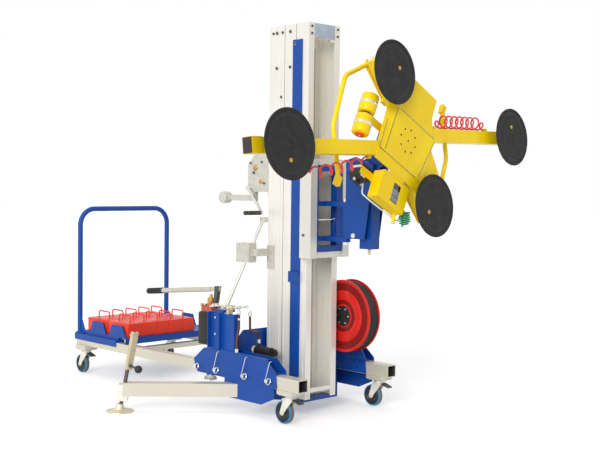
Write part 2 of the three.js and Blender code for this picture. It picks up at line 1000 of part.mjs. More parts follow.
// Plate that a caster is bolted to, with its four bolts
function casterPlate(x, y, topZ) {
  const halfLength = casterPlateLength / 2;
  const halfWidth = casterPlateWidth / 2;
  const plateBottom = casterHeight - casterPlateThickness;
  const plate = block(x - halfLength, x + halfLength, y - halfWidth, y + halfWidth, plateBottom, topZ);
  const pad = block(
    x - halfLength - legPadOverhang, x + halfLength + legPadOverhang,
    y - halfWidth - legPadOverhang, y + halfWidth + legPadOverhang, casterHeight, topZ + weld,
  );
  return plate.add(pad);
}

function squareTube(x0, x1, y, z, size, wall) {
  const half = size / 2;
  const inner = half - wall;
  const outside = block(x0, x1, y - half, y + half, z - half, z + half);
  const hollow = block(x0 - cutOverrun, x1 + cutOverrun, y - inner, y + inner, z - inner, z + inner);
  return outside.subtract(hollow);
}

const pinHoles = (xs, y, size) => xs.map((x) =>
  rodY(pinDiameter + 2 * runningGap, y - size, y + size, x, pinZ, tinySides));

function buildLeg(side) {
  const y = side * railY;
  const tube = squareTube(legRearX, legFrontX, y, legBottomZ + legSize / 2, legSize, legWall);
  const foot = casterPlate(frontSwivelX, y, legBottomZ);
  return cut(tube.add(foot), pinHoles(legPinXs, y, legSize));
}

function buildRearFrame() {
  const beamZ = beamBottomZ + beamSize / 2;
  const beams = [-1, 1].map((side) => {
    const y = side * railY;
    const tube = squareTube(beamRearX, beamFrontX, y, beamZ, beamSize, beamWall);
    const foot = casterPlate(rearSwivelX, y, beamBottomZ);
    return cut(tube.add(foot), pinHoles(beamPinXs, y, beamSize));
  });
  const crossEnd = railY - beamSize / 2 + weld;
  const crosses = crossTubeXs.map((x) => block(
    x - crossTubeWidth / 2, x + crossTubeWidth / 2, -crossEnd, crossEnd,
    crossTubeZ - crossTubeHeight / 2, crossTubeZ + crossTubeHeight / 2,
  ));
  return join([...beams, ...crosses]);
}

// Chassis

const sideOutline = () => outline([
  [sideFootX, sideBottomZ], [sideFrontX, sideBottomZ], [sideNoseX, sideNoseZ],
  [sideBrowX, sideBrowZ], [sideRidgeX, sideRidgeZ], [sideTailX, sideTailZ],
  [sideRearX, sideRearZ], [sideFootX - sideFootLift, sideBottomZ + sideFootLift],
]);

// Pull ring of a locking pin, with the cord that ties it to the box
function pinRing(x) {
  const faceY = -sideOuterY - sidePlate;
  const head = rodY(pinHeadDiameter, faceY - pinHeadLength, faceY + weld, x, pinZ, tinySides);
  const half = ringDiameter / 2;
  const ring = new THREE.TorusGeometry(half, ringWire / 2, ringSections, ringSteps);
  ring.rotateX(Math.PI / 2 - radians(ringTilt));
  ring.translate(x + half, faceY - pinHeadLength + ringWire / 2, pinZ);
  return head.add(toSolid(ring));
}

function lanyard(x) {
  const faceY = -sideOuterY - sidePlate;
  const topX = x + lanyardShift;
  const topZ = sideBrowZ - ringWire;
  return pipe([
    [topX, faceY + weld, topZ],
    [topX, faceY - lanyardBow, topZ],
    [x, faceY - lanyardBow, pinZ + ringWire],
    [x, faceY + weld, pinZ + ringWire],
  ], lanyardDiameter, lanyardDiameter, lanyardSides, lanyardSteps);
}

function buildSideBox(fittings) {
  const shape = sideOutline();
  const faceY = -sideOuterY - sidePlate;
  const outer = plateY(shape, faceY, -sideOuterY);
  const inner = plateY(shape, -sideInnerY, -sideInnerY + sidePlate);
  const step = block(
    sideRearX - cutOverrun, sideStepX, faceY - cutOverrun, faceY + sideStepDepth,
    sideBottomZ - cutOverrun, sideRidgeZ + cutOverrun,
  );
  const flange = plateY(outline([
    [sideBrowX, sideBrowZ - sidePlate], [sideBrowX, sideBrowZ], [sideRidgeX, sideRidgeZ],
    [sideTailX, sideTailZ], [sideTailX, sideTailZ - sidePlate], [sideRidgeX, sideRidgeZ - sidePlate],
  ]), faceY, faceY + topFlangeWidth);
  const bars = clampBarXs.map((x) => block(
    x - clampBarLength, x + clampBarLength, -sideOuterY - weld, -sideInnerY + weld,
    legTopZ + seatGap, legTopZ + clampBarHeight,
  ));
  const pins = [...legPinXs, ...beamPinXs].map((x) =>
    rodY(pinDiameter, faceY - pinHeadLength, -sideInnerY + sidePlate + pinTipLength, x, pinZ, tinySides));
  const rings = [...legPinXs, beamPinXs[0], beamPinXs[1]].map(pinRing);
  const cords = [...legPinXs, beamPinXs[0]].map(lanyard);
  const tubeZ = sideBottomZ - spareTubeDrop;
  const tubeY = faceY - spareTubeLength * spareTubeSetShare;
  const tubes = spareTubeXs.map((x) => rodY(spareTubeDiameter, tubeY, tubeY + spareTubeLength, x, tubeZ)
    .subtract(rodY(spareTubeBore, tubeY - cutOverrun, tubeY + spareTubeLength / 2, x, tubeZ)));
  const tab = block(
    spareTubeXs[0] - spareTubeDiameter / 2, spareTubeXs[1] + spareTubeDiameter / 2,
    -sideOuterY - sideStepDepth, -sideOuterY + spareTabThickness, tubeZ, sideBottomZ + sideFootLift,
  );
  const plates = cut(join([outer, inner, flange]), [step]);
  const box = join([plates, ...bars, ...pins]);
  return fittings ? join([box, ...rings, ...cords, ...tubes, tab]) : box;
}

// Socket for the outrigger, its mouth cut flush with the side box
function buildOutriggerSocket() {
  const inside = outriggerTube + 2 * slideGap;
  const half = inside / 2 + outriggerSleeveWall;
  const faceY = -sideOuterY - sidePlate;
  const bottom = outriggerZ - half;
  const top = outriggerZ + half;
  const start = -half;
  const turn = new THREE.Matrix4().makeRotationZ(Math.atan2(-outriggerY, -outriggerX));
  turn.setPosition(outriggerMouthX, faceY, 0);
  const tube = moved(block(start, outriggerSleeveLength, -half, half, bottom, top), turn);
  const bore = moved(block(
    start - half, outriggerSleeveLength + cutOverrun, -inside / 2, inside / 2,
    outriggerZ - inside / 2, outriggerZ + inside / 2,
  ), turn);
  const spread = half / Math.sin(radians(outriggerAngle));
  const trim = block(
    outriggerMouthX - outriggerSleeveLength, outriggerMouthX + outriggerSleeveLength,
    faceY - outriggerSleeveLength, faceY, bottom - cutOverrun, top + cutOverrun,
  );
  const apron = plateY(outline([
    [outriggerMouthX - spread, bottom], [sleeveGussetBendX, bottom],
    [sleeveGussetFrontX, sleeveGussetZ], [sleeveGussetFrontX, sideBottomZ + weld],
    [outriggerMouthX - spread, sideBottomZ + weld],
  ]), faceY, faceY + sidePlate);
  const reach = sideOuterY - sideInnerY;
  const saddleX = outriggerMouthX + reach / Math.tan(radians(outriggerAngle));
  const saddle = block(
    saddleX - spread, saddleX + spread, -sideInnerY, -sideInnerY + sidePlate,
    top - weld, sideBottomZ + weld,
  );
  return cut(join([tube.subtract(trim), apron, saddle]), [bore]);
}

function buildCrossPlate() {
  const rearX = crossPlateFrontX - crossPlateThickness;
  const low = sideBottomZ;
  const cradleBottom = mastBottomZ - seatGap - cradleThickness;
  const boxTop = sideTailZ - sidePlate;
  return plateX(outline([
    [-cradleWidthNear, cradleBottom], [cradleWidthFar, cradleBottom], [cradleWidthFar, low],
    [sideOuterY + weld, low], [sideOuterY + weld, boxTop], [crossPlateHalfWidth, boxTop],
    [crossPlateHalfWidth, crossPlateTopZ - crossPlateShoulder],
    [crossPlateHalfWidth - crossPlateShoulder, crossPlateTopZ],
    [crossPlateShoulder - crossPlateHalfWidth, crossPlateTopZ],
    [-crossPlateHalfWidth, crossPlateTopZ - crossPlateShoulder],
    [-crossPlateHalfWidth, boxTop], [-sideOuterY - weld, boxTop], [-sideOuterY - weld, low],
    [-cradleWidthNear, low],
  ]), rearX, crossPlateFrontX);
}

function buildCradle() {
  const top = mastBottomZ - seatGap;
  const rearX = crossPlateFrontX - weld;
  const floor = block(rearX, cradleFrontX, -cradleWidthNear, cradleWidthFar, top - cradleThickness, top);
  const lip = block(
    cradleFrontX - cradleLipLength, cradleFrontX, cradleWidthFar - cradleLipThickness, cradleWidthFar,
    top - weld, top + cradleLipHeight,
  );
  const seat = block(
    rearX, mastRearX - seatGap, -mastSeatHalfWidth, mastSeatHalfWidth, mastSeatBottomZ, mastSeatTopZ,
  );
  return join([floor, lip, seat]);
}

// Upright plate on the near box that carries the hand pump and the foot of the strut
function buildPumpBracket() {
  const nearY = bracketNearY;
  const backY = nearY + bracketPlate;
  const bottom = sideTailZ - bracketLap;
  const channelX = bracketRearX + bracketChannelWidth;
  const plate = block(bracketRearX, bracketFrontX, nearY, backY, bottom, bracketTopZ);
  const ribs = [bracketRearX, channelX].map((x) => block(
    x, x + bracketPlate, nearY - bracketRibDepth, nearY + weld, sideRidgeZ, bracketTopZ,
  ));
  const backFlange = block(
    bracketFrontX - bracketPlate, bracketFrontX, nearY, backY + bracketRibDepth, bottom, bracketTopZ,
  );
  const floorBar = block(
    bracketRearX, bracketFrontX, nearY, -sideInnerY + weld, bottom - bracketPlate, bottom + weld,
  );
  const boltX = (bracketRearX + channelX) / 2;
  const bolts = bracketBoltZs.map((z) =>
    rodY(bracketBoltDiameter, nearY - bracketBoltLength, nearY + weld, boltX, z, hexSides));
  const shelf = block(
    strutShelfRearX, strutShelfRearX + strutShelfLength, nearY, strutShelfFarY,
    bracketTopZ - weld, bracketTopZ + strutShelfThickness,
  );
  return join([plate, ...ribs, backFlange, floorBar, ...bolts, shelf]);
}

function buildReelPedestal() {
  const radius = pedestalTopRadius;
  const shape = new THREE.Shape();
  shape.moveTo(pedestalFootRearX, pedestalFootZ);
  shape.lineTo(pedestalFootFrontX, pedestalFootZ);
  shape.lineTo(pedestalKneeX, pedestalKneeZ);
  shape.lineTo(reelX + radius, reelZ);
  shape.absarc(reelX, reelZ, radius, 0, Math.PI, false);
  shape.lineTo(pedestalFootRearX, pedestalKneeZ);
  shape.closePath();
  const upright = plateY(shape, pedestalNearY, pedestalNearY + pedestalThickness);
  const shelf = block(
    pedestalFootRearX, pedestalShelfFrontX, pedestalNearY, sideInnerY - weld,
    pedestalFootZ, pedestalFootZ + pedestalShelfThickness,
  );
  const axle = rodY(reelAxleDiameter, pedestalNearY - reelAxleLength, pedestalNearY + weld, reelX, reelZ);
  return join([upright, shelf, axle]);
}

function buildChassis() {
  return join([
    buildSideBox(true), mirrored(buildSideBox(false)), bothSides(buildOutriggerSocket()), buildCrossPlate(), buildCradle(),
    buildPumpBracket(), buildReelPedestal(),
  ]);
}

// Outrigger: its own X axis runs along the tube, inwards from the mouth of the socket

function outriggerFrame() {
  const frame = new THREE.Matrix4().makeRotationZ(Math.atan2(-outriggerY, -outriggerX));
  return frame.setPosition(outriggerMouthX, -sideOuterY - sidePlate, 0);
}

// Frame of the leaning screw, with its origin on the floor and +Z up along the screw
function jackFrame() {
  const place = new THREE.Matrix4().makeTranslation(-outriggerReach - jackFootShift, 0, 0);
  const lean = new THREE.Matrix4().makeRotationY(radians(jackLean));
  return outriggerFrame().multiply(place).multiply(lean);
}

function buildOutrigger() {
  const half = outriggerTube / 2;
  const inner = half - outriggerWall;
  const z0 = outriggerZ - half;
  const z1 = outriggerZ + half;
  const tubeStart = -outriggerReach;
  const tube = block(tubeStart, outriggerInsertLength, -half, half, z0, z1);
  const hollow = block(
    tubeStart + jackTubeSize, outriggerInsertLength + cutOverrun, -inner, inner,
    z0 + outriggerWall, z1 - outriggerWall,
  );
  const arm = moved(tube.subtract(hollow), outriggerFrame());
  const post = jackTubeSize / 2;
  const socket = moved(block(-post, post, -post - weld, post + weld, jackTubeBottom, jackTubeTop), jackFrame());
  const bore = moved(rodZ(
    boreFor(spindleDiameter), jackTubeBottom - footDiameter, jackTubeTop + footDiameter, 0, 0,
  ), jackFrame());
  return cut(arm.add(socket), [bore]);
}

function buildSpindle() {
  const shoulder = crankRivetZ - spindleEyeHeight;
  const rod = rodZ(spindleDiameter, footRim, shoulder, 0, 0);
  const eye = block(
    -spindleEyeWidth / 2, spindleEyeWidth / 2, -spindleEyeThickness / 2, spindleEyeThickness / 2,
    shoulder - weld, crankRivetZ + spindleEyeTop,
  );
  const hole = rodY(boreFor(rivetDiameter), -spindleEyeThickness, spindleEyeThickness, 0, crankRivetZ);
  const turn = new THREE.Matrix4().makeRotationZ(-radians(outriggerAngle));
  const screw = moved(rod.add(moved(eye.subtract(hole), turn)), jackFrame());
  const outer = footDiameter / 2;
  const neck = footNeckDiameter / 2;
  const dish = turnedZ([
    [0, 0], [outer - rimBevel, 0], [outer, rimBevel], [outer - rimBevel, footRim],
    [neck + footRim, footHeight - footRim], [neck, footHeight], [0, footHeight],
  ], discSides);
  const footX = -outriggerReach - jackFootShift;
  return screw.add(moved(shifted(dish, footX, 0, 0), outriggerFrame()));
}

function buildCrank() {
  const half = crankWidth / 2;
  const inner = half - crankWall;
  const top = crankRivetZ + crankAbove;
  const bottom = crankRivetZ - crankBelow;
  const bar = block(crankFront - crankDepth, crankFront, -half, half, bottom, top);
  const hollow = block(
    crankFront - crankDepth - cutOverrun, crankFront - crankWall, -inner, inner,
    bottom - cutOverrun, top + cutOverrun,
  );
  const rivet = rodY(rivetDiameter, -half, half, 0, crankRivetZ);
  const rivetHead = rodY(rivetHeadDiameter, half - weld, half + rivetHeadLength, 0, crankRivetZ);
  const pinZ0 = crankRivetZ - crankPinDrop;
  const pin = rodX(crankPinDiameter, crankFront - weld, knobReach, 0, pinZ0);
  const ball = new THREE.SphereGeometry(knobDiameter / 2, ballSides, ballRings);
  ball.rotateZ(-Math.PI / 2);
  ball.translate(knobReach, 0, pinZ0);
  const crank = join([bar.subtract(hollow), rivet, bothSides(rivetHead), pin, toSolid(ball)]);
  const turn = new THREE.Matrix4().makeRotationZ(-radians(outriggerAngle));
  return moved(crank, jackFrame().multiply(turn));
}

// Ballast platform, weights and push handle

function buildPlatform() {
  const tray = block(
    platformRearX, platformFrontX, -platformHalfWidth, platformHalfWidth,
    platformTopZ - platformPlate, platformTopZ,
  );
  const rail = block(
    platformFrontX - frontRailThickness, platformFrontX, -frontRailHalfWidth, frontRailHalfWidth,
    beamTopZ + seatGap, platformTopZ,
  );
  const webZ = platformTopZ - weld;
  const channelOuter = railY + beamSize / 2 + seatGap + sideChannelWall;
  const channelInner = railY - beamSize / 2 - seatGap - sideChannelWall;
  const roof = block(
    sideChannelRearX, sideChannelFrontX, channelInner, channelOuter, beamTopZ + seatGap, sideChannelTopZ,
  );
  const walls = [[channelInner, channelInner + sideChannelWall], [channelOuter - sideChannelWall, channelOuter]]
    .map(([y0, y1]) => block(
      sideChannelRearX, sideChannelFrontX, y0, y1, sideChannelBottomZ, beamTopZ + seatGap + weld,
    ));
  const spacer = block(
    platformRearX, sideChannelFrontX, railY - railSpacerHalf, railY + railSpacerHalf,
    sideChannelTopZ - weld, webZ,
  );
  const channel = join([roof, ...walls, spacer]);
  const edgeY = -platformHalfWidth;
  const tabs = [[rearTabBase, rearTabTop], [frontTabBase, frontTabTop]].map(([base, top]) =>
    plateY(outline([
      [base[0], platformTopZ - platformPlate], [base[1], platformTopZ - platformPlate],
      [top[1], tabTopZ], [top[0], tabTopZ],
    ]), edgeY - tabThickness, edgeY + weld));
  return join([tray, rail, bothSides(channel), ...tabs.map(bothSides)]);
}

function buildWeight() {
  const halfWidth = weightWidth / 2;
  const edge = weightEdge;
  const body = plateX(outline([
    [-halfWidth, edge], [edge - halfWidth, 0], [halfWidth - edge, 0], [halfWidth, edge],
    [halfWidth, weightHeight - edge], [halfWidth - edge, weightHeight],
    [edge - halfWidth, weightHeight], [-halfWidth, weightHeight - edge],
  ]), 0, weightLength);
  const rearX = (weightLength - weightHandleLength) / 2;
  const frontX = rearX + weightHandleLength;
  const top = weightHeight + weightHandleRise;
  const handle = pipe([
    [rearX, 0, weightHeight - edge], [rearX, 0, top], [frontX, 0, top], [frontX, 0, weightHeight - edge],
  ], weightHandleWire, weightHandleBend, weightHandleSides, weightHandleSteps);
  return body.add(handle);
}

function weights() {
  const weight = buildWeight();
  const pieces = [];
  for (let row = 0; row < weightRows; row += 1) {
    for (let place = 0; place < weightsPerRow; place += 1) {
      const x = weightFrontX - weightLength - row * (weightLength + weightRowGap);
      const y = weightNearY + weightWidth / 2 + place * (weightWidth + weightGap);
      const solid = shifted(weight, x, y, platformTopZ + seatGap);
      pieces.push(piece(`weight_${row === 0 ? 'front' : 'rear'}_${place + 1}`, solid, redPaint));
    }
  }
  return pieces;
}

function buildPushHandle() {
  const footZ = sideChannelTopZ + seatGap;
  const top = handleTopZ - handleTube / 2;
  const hoop = pipe([
    [handleX, -handleHalfWidth, footZ], [handleX, -handleHalfWidth, top],
    [handleX, handleHalfWidth, top], [handleX, handleHalfWidth, footZ],
  ], handleTube, handleBend, handleSides, handleBendSteps);
  const footRear = handleX - handleTube / 2;
  const footFront = platformRearX - seatGap;
  const foot = block(
    footRear, footFront, handleHalfWidth - handleFootWidth / 2, handleHalfWidth + handleFootWidth / 2,
    footZ, footZ + handleFootThickness,
  );
  const gusset = plateY(outline([
    [handleX, footZ + weld], [footFront, footZ + weld], [footFront, footZ + handleFootThickness],
    [handleX + handleTube / 2, footZ + handleGussetHeight], [handleX, footZ + handleGussetHeight],
  ]), handleHalfWidth - handleGussetThickness / 2, handleHalfWidth + handleGussetThickness / 2);
  return join([hoop, bothSides(foot), bothSides(gusset)]);
}

// Hand pump with its tank, lever and hoses

function buildTank() {
  const frontX = bracketRearX - seatGap;
  const shape = roundedRect(frontX - tankLength, frontX, tankNearY, tankNearY + tankDepth, tankCorner);
  return plateZ(shape, tankBottomZ, tankTopZ);
}

function buildPump() {
  const z0 = tankTopZ + seatGap;
  const frontX = bracketRearX - seatGap - pumpBaseInset;
  const rearX = bracketRearX - tankLength + pumpBaseInset;
  const base = block(
    rearX, frontX, tankNearY + pumpBaseInset, tankNearY + tankDepth - pumpBaseInset, z0, z0 + pumpBaseHeight,
  );
  const barrelX = leverPivotX - pumpBarrelSetback;
  const barrelTop = z0 + pumpBaseHeight + pumpCylinderHeight;
  const barrel = rodZ(pumpCylinderDiameter, z0 + weld, barrelTop, barrelX, pumpAxisY);
  const ram = rodZ(pumpRamDiameter, barrelTop - weld, barrelTop + pumpRamHeight, barrelX, pumpAxisY);
  const valve = rodX(pumpValveDiameter, rearX - pumpValveLength, rearX + weld, pumpAxisY, z0 + pumpBaseHeight / 2);
  const gapHalf = leverThickness / 2 + runningGap;
  const cheek = plateY(outline([
    [leverPivotX - pumpCheekWidth, z0 + weld], [frontX, z0 + weld],
    [leverPivotX + pumpCheekWidth / 2, leverPivotZ + pumpCheekWidth / 2],
    [leverPivotX - pumpCheekWidth / 2, leverPivotZ + pumpCheekWidth / 2],
  ]), pumpAxisY + gapHalf, pumpAxisY + gapHalf + pumpCheekThickness);
  const farCheek = shifted(cheek, 0, -2 * gapHalf - pumpCheekThickness, 0);
  const pinHalf = gapHalf + pumpCheekThickness;
  const pin = rodY(leverPinDiameter, pumpAxisY - pinHalf, pumpAxisY + pinHalf, leverPivotX, leverPivotZ);
  const port = block(
    frontX - pumpPortSize, frontX + pumpPortLength, pumpHoseY - pumpPortSize / 2, pumpAxisY,
    z0 + pumpPortRise - pumpPortSize / 2, z0 + pumpPortRise + pumpPortSize / 2,
  );
  return join([base, barrel, ram, valve, cheek, farCheek, pin, port]);
}

function buildLever() {
  const thick = leverThickness / 2;
  const bar = block(-leverLength + gripLength, 0, -thick, thick, -leverHeight / 2, leverHeight / 2);
  const eye = rodY(leverHeight + leverPinDiameter, -thick, thick, 0, 0);
  const hole = rodY(boreFor(leverPinDiameter), -leverHeight, leverHeight, 0, 0);
  const tube = rodX(gripTubeDiameter, -leverLength + gripLength, -leverSocketX, 0, 0);
  const grip = rodX(gripDiameter, -leverLength, -leverLength + gripLength + weld, 0, 0);
  const lever = cut(join([bar, eye, tube, grip]), [hole]);
  const place = new THREE.Matrix4().makeTranslation(leverPivotX, pumpAxisY, leverPivotZ);
  return moved(lever, place.multiply(new THREE.Matrix4().makeRotationY(-radians(leverDrop))));
}

function buildPumpHose() {
  const z = tankTopZ + seatGap + pumpPortRise;
  const startX = bracketRearX - seatGap - pumpBaseInset + pumpPortLength + seatGap;
  const endX = cylinderPortX();
  const endZ = cylinderZ + cylinderDiameter / 2 + cylinderPortHeight + seatGap;
  const hose = pipe([
    [startX, pumpHoseY, z], [hoseKneeX, pumpHoseY, hoseKneeZ], [hoseTurnX, pumpHoseY, hoseTurnZ],
    [hoseFallX, hoseFallY, hoseFallZ], [endX, cylinderY, hoseLandingZ], [endX, cylinderY, endZ],
  ], pumpHoseDiameter, pumpHoseBend, smallSides, arcSteps);
  const nut = rodX(pumpHoseNut, startX, startX + pumpHoseNut, pumpHoseY, z, hexSides);
  const endNut = rodZ(pumpHoseNut, endZ, endZ + pumpHoseNut, endX, cylinderY, hexSides);
  return join([hose, nut, endNut]);
}

const cylinderPortX = () => crossPlateFrontX + seatGap + cylinderCapLength + cylinderPortDiameter;

function buildCylinder() {
  const rearX = crossPlateFrontX + seatGap;
  const capX = rearX + cylinderCapLength;
  const frontX = rearX + cylinderLength;
  const cap = rodX(cylinderCapDiameter, rearX, capX + weld, cylinderY, cylinderZ);
  const barrel = rodX(cylinderDiameter, capX, frontX, cylinderY, cylinderZ);
  const eyeX = frontX + cylinderEyeSet;
  const eye = rodY(
    cylinderEyeDiameter, cylinderY - cylinderEyeThickness / 2, cylinderY + cylinderEyeThickness / 2,
    eyeX, cylinderZ,
  );
  const bore = rodY(cylinderEyeBore, cylinderY - cylinderDiameter, cylinderY + cylinderDiameter, eyeX, cylinderZ);
  const port = rodZ(
    cylinderPortDiameter, cylinderZ, cylinderZ + cylinderDiameter / 2 + cylinderPortHeight,
    cylinderPortX(), cylinderY,
  );
  return join([cap, barrel, port, eye.subtract(bore)]);
}

// Mast: each stage is an open channel that holds the hooks of the next one behind its lips

function stageChannel(rearX, depth) {
  const h = halfMast;
  const w = mastWall;
  const frontX = rearX + depth;
  const lip = h - lipWidth;
  const shape = outline([
    [rearX, -h], [frontX, -h], [frontX, -lip], [frontX - w, -lip], [frontX - w, w - h],
    [rearX + w, w - h], [rearX + w, h - w], [frontX - w, h - w], [frontX - w, lip],
    [frontX, lip], [frontX, h], [rearX, h],
  ]);
  const grooves = grooveShares.map((share) => {
    const x = rearX + depth * share;
    return block(
      x - sideGrooveWidth / 2, x + sideGrooveWidth / 2, -h - cutOverrun, sideGrooveDepth - h,
      mastBottomZ - cutOverrun, mastTopZ + cutOverrun,
    );
  });
  return cut(plateZ(shape, mastBottomZ, mastTopZ), grooves.map(bothSides));
}

function stageHooks(rearX) {
  const lip = halfMast - lipWidth;
  const neckOuter = lip - tongueClearance;
  const neckInner = neckOuter - mastWall;
  const headFront = rearX - slideGap - mastWall - tongueClearance;
  const headRear = headFront - tongueHeadThickness;
  return bothSides(plateZ(outline([
    [rearX + weld, neckInner], [rearX + weld, neckOuter], [headFront, neckOuter],
    [headFront, neckOuter + tongueHeadOverlap], [headRear, neckOuter + tongueHeadOverlap],
    [headRear, neckInner],
  ]), mastBottomZ, mastTopZ));
}

const mastBolts = (x) => mastBoltDrops.map((drop) => rodY(
  mastBoltDiameter, -halfMast - mastBoltLength, sideGrooveDepth - halfMast + weld, x, mastTopZ - drop, hexSides,
));

function buildMastBase() {
  const channel = stageChannel(mastRearX, baseStageDepth);
  return join([channel, ...mastBolts(mastRearX + baseStageDepth / 2)]);
}

function buildMastMid() {
  const channel = stageChannel(midStageRearX, midStageDepth);
  return join([channel, stageHooks(midStageRearX), ...mastBolts(midStageRearX + midStageDepth / 2)]);
}

function sheave(y, z, fromBelow) {
  const wheel = rodY(sheaveDiameter, y - sheaveThickness / 2, y + sheaveThickness / 2, sheaveX, z);
  const rearX = frontStageRearX + mastWall - weld;
  const half = sheaveCheekWidth / 2;
  const cheek = block(
    rearX, sheaveX + half, y - sheaveThickness / 2 - sheaveCheekThickness, y - sheaveThickness / 2 + weld,
    z - half, z + half,
  );
  return wheel.add(cheek).add(shifted(cheek, 0, sheaveThickness + sheaveCheekThickness - weld, fromBelow));
}

function buildMastFront() {
  const rearX = frontStageRearX;
  const depth = mastFrontX - rearX;
  const lip = halfMast - lipWidth + weld;
  const webX = rearX + mastWall;
  const ribs = ribYs.map((y) => block(
    webX - weld, webX + ribHeight, y - ribWidth / 2, y + ribWidth / 2, mastBottomZ, mastTopZ,
  ));
  const topPlate = block(
    mastFrontX - topPlateThickness, mastFrontX, -lip, lip, mastTopZ - topPlateHeight, mastTopZ,
  );
  const footBar = block(
    mastFrontX - footBarThickness, mastFrontX, -lip, lip, footBarZ, footBarZ + footBarHeight,
  );
  return join([
    stageChannel(rearX, depth), stageHooks(rearX), ...ribs, topPlate, footBar,
    sheave(sheaveTopY, sheaveTopZ, 0), sheave(sheaveBottomY, sheaveBottomZ, 0),
  ]);
}

function buildGuard() {
  const backY = -halfMast - seatGap;
  const frontY = backY - guardThickness;
  const strip = block(guardRearX, guardRearX + guardWidth, frontY, backY, guardBottomZ, guardTopZ);
  const clipFrontX = guardRearX + guardWidth;
  const clip = block(
    guardClipRearX, clipFrontX, frontY - guardClipDepth, frontY + weld,
    guardClipZ, guardClipZ + guardClipHeight,
  );
  const pocket = block(
    guardClipRearX + guardClipWall, clipFrontX - guardClipWall, frontY - guardClipDepth + guardClipWall,
    frontY, guardClipZ + guardClipWall, guardClipZ + guardClipHeight + cutOverrun,
  );
  const bolt = rodY(
    mastBoltDiameter, frontY - mastBoltLength, frontY + weld, guardRearX + mastBoltDiameter,
    guardTopZ - mastBoltDiameter, hexSides,
  );
  return join([strip, clip.subtract(pocket), bolt]);
}

// Carriage

function buildCarriageRails() {
  const shape = outline([
    [railRearX, -railOuterY], [railFrontX, -railOuterY], [railFrontX, -railFlangeY],
    [railFlangeRearX, -railFlangeY], [railFlangeRearX, -railInnerY], [railRearX, -railInnerY],
  ]);
  const w = railWall;
  const slot = outline([
    [railFlangeRearX + w, -railOuterY + w], [railFrontX - w, -railOuterY + w],
    [railFrontX - w, -railFlangeY - w], [railFlangeRearX + w, -railFlangeY - w],
  ]);
  const rail = plateZ(shape, carriageBottomZ, carriageTopZ)
    .subtract(plateZ(slot, carriageBottomZ - cutOverrun, carriageTopZ + cutOverrun));
  const barRearX = railFlangeRearX;
  const shoeFront = mastFrontX - mastWall - tongueClearance;
  const bars = [carriageBottomZ, carriageTopZ - carriageBarHeight].map((z) => {
    const bar = block(
      barRearX, carriageBarFrontX, -railFlangeY - weld, railFlangeY + weld, z, z + carriageBarHeight,
    );
    const neck = block(shoeFront - weld, barRearX + weld, -shoeNeckHalf, shoeNeckHalf, z, z + shoeHeight);
    const head = block(
      shoeFront - shoeHeadThickness, shoeFront, -shoeHeadHalf, shoeHeadHalf, z, z + shoeHeight,
    );
    return join([bar, neck, head]);
  });
  return join([bothSides(rail), ...bars]);
}

function buildCarriageFrame() {
  const half = railFlangeY - seatGap;
  const rearX = frameFrontX - frameDepth;
  const z0 = carriageBottomZ + carriageBarHeight + seatGap;
  const z1 = carriageTopZ - carriageBarHeight - seatGap;
  const frame = block(rearX, frameFrontX, -half, half, z0, z1);
  const windowCut = block(
    rearX - cutOverrun, frameFrontX + cutOverrun, frameBarNear - half, half - frameBarFar,
    z0 + frameBarHeight, z1 - frameBarHeight,
  );
  const lugs = [lugLowerZ, lugUpperZ].map((z) => {
    const radius = lugWidth / 2;
    const shape = new THREE.Shape();
    shape.moveTo(frameFrontX - frameDepth / 2, -radius);
    shape.lineTo(slewX, -radius);
    shape.absarc(slewX, 0, radius, -Math.PI / 2, Math.PI / 2, false);
    shape.lineTo(frameFrontX - frameDepth / 2, radius);
    shape.closePath();
    return plateZ(shape, z, z + lugThickness);
  });
  const beams = [lugLowerZ, lugUpperZ].map((z) => block(
    rearX + lugRootSetback, frameFrontX, -half + weld, half - weld, z, z + lugThickness,
  ));
  const pin = rodZ(
    slewPinDiameter, lugLowerZ - slewPinOverhang, lugUpperZ + lugThickness + slewPinOverhang, slewX, 0,
  );
  const nuts = [lugLowerZ - slewPinOverhang, lugUpperZ + lugThickness - weld].map((z) =>
    rodZ(slewNutDiameter, z, z + slewPinOverhang + weld, slewX, 0, hexSides));
  const rod = rodY(tieRodDiameter, weld - half, half - weld, frameFrontX - frameDepth / 2, tieRodZ);
  return join([frame.subtract(windowCut), ...beams, ...lugs, pin, ...nuts, rod]);
}

// Slew bracket: its own X axis points ahead of the slew axis

function slewFrame() {
  const place = new THREE.Matrix4().makeTranslation(slewX, 0, 0);
  return place.multiply(new THREE.Matrix4().makeRotationZ(radians(slewRestAngle)));
}

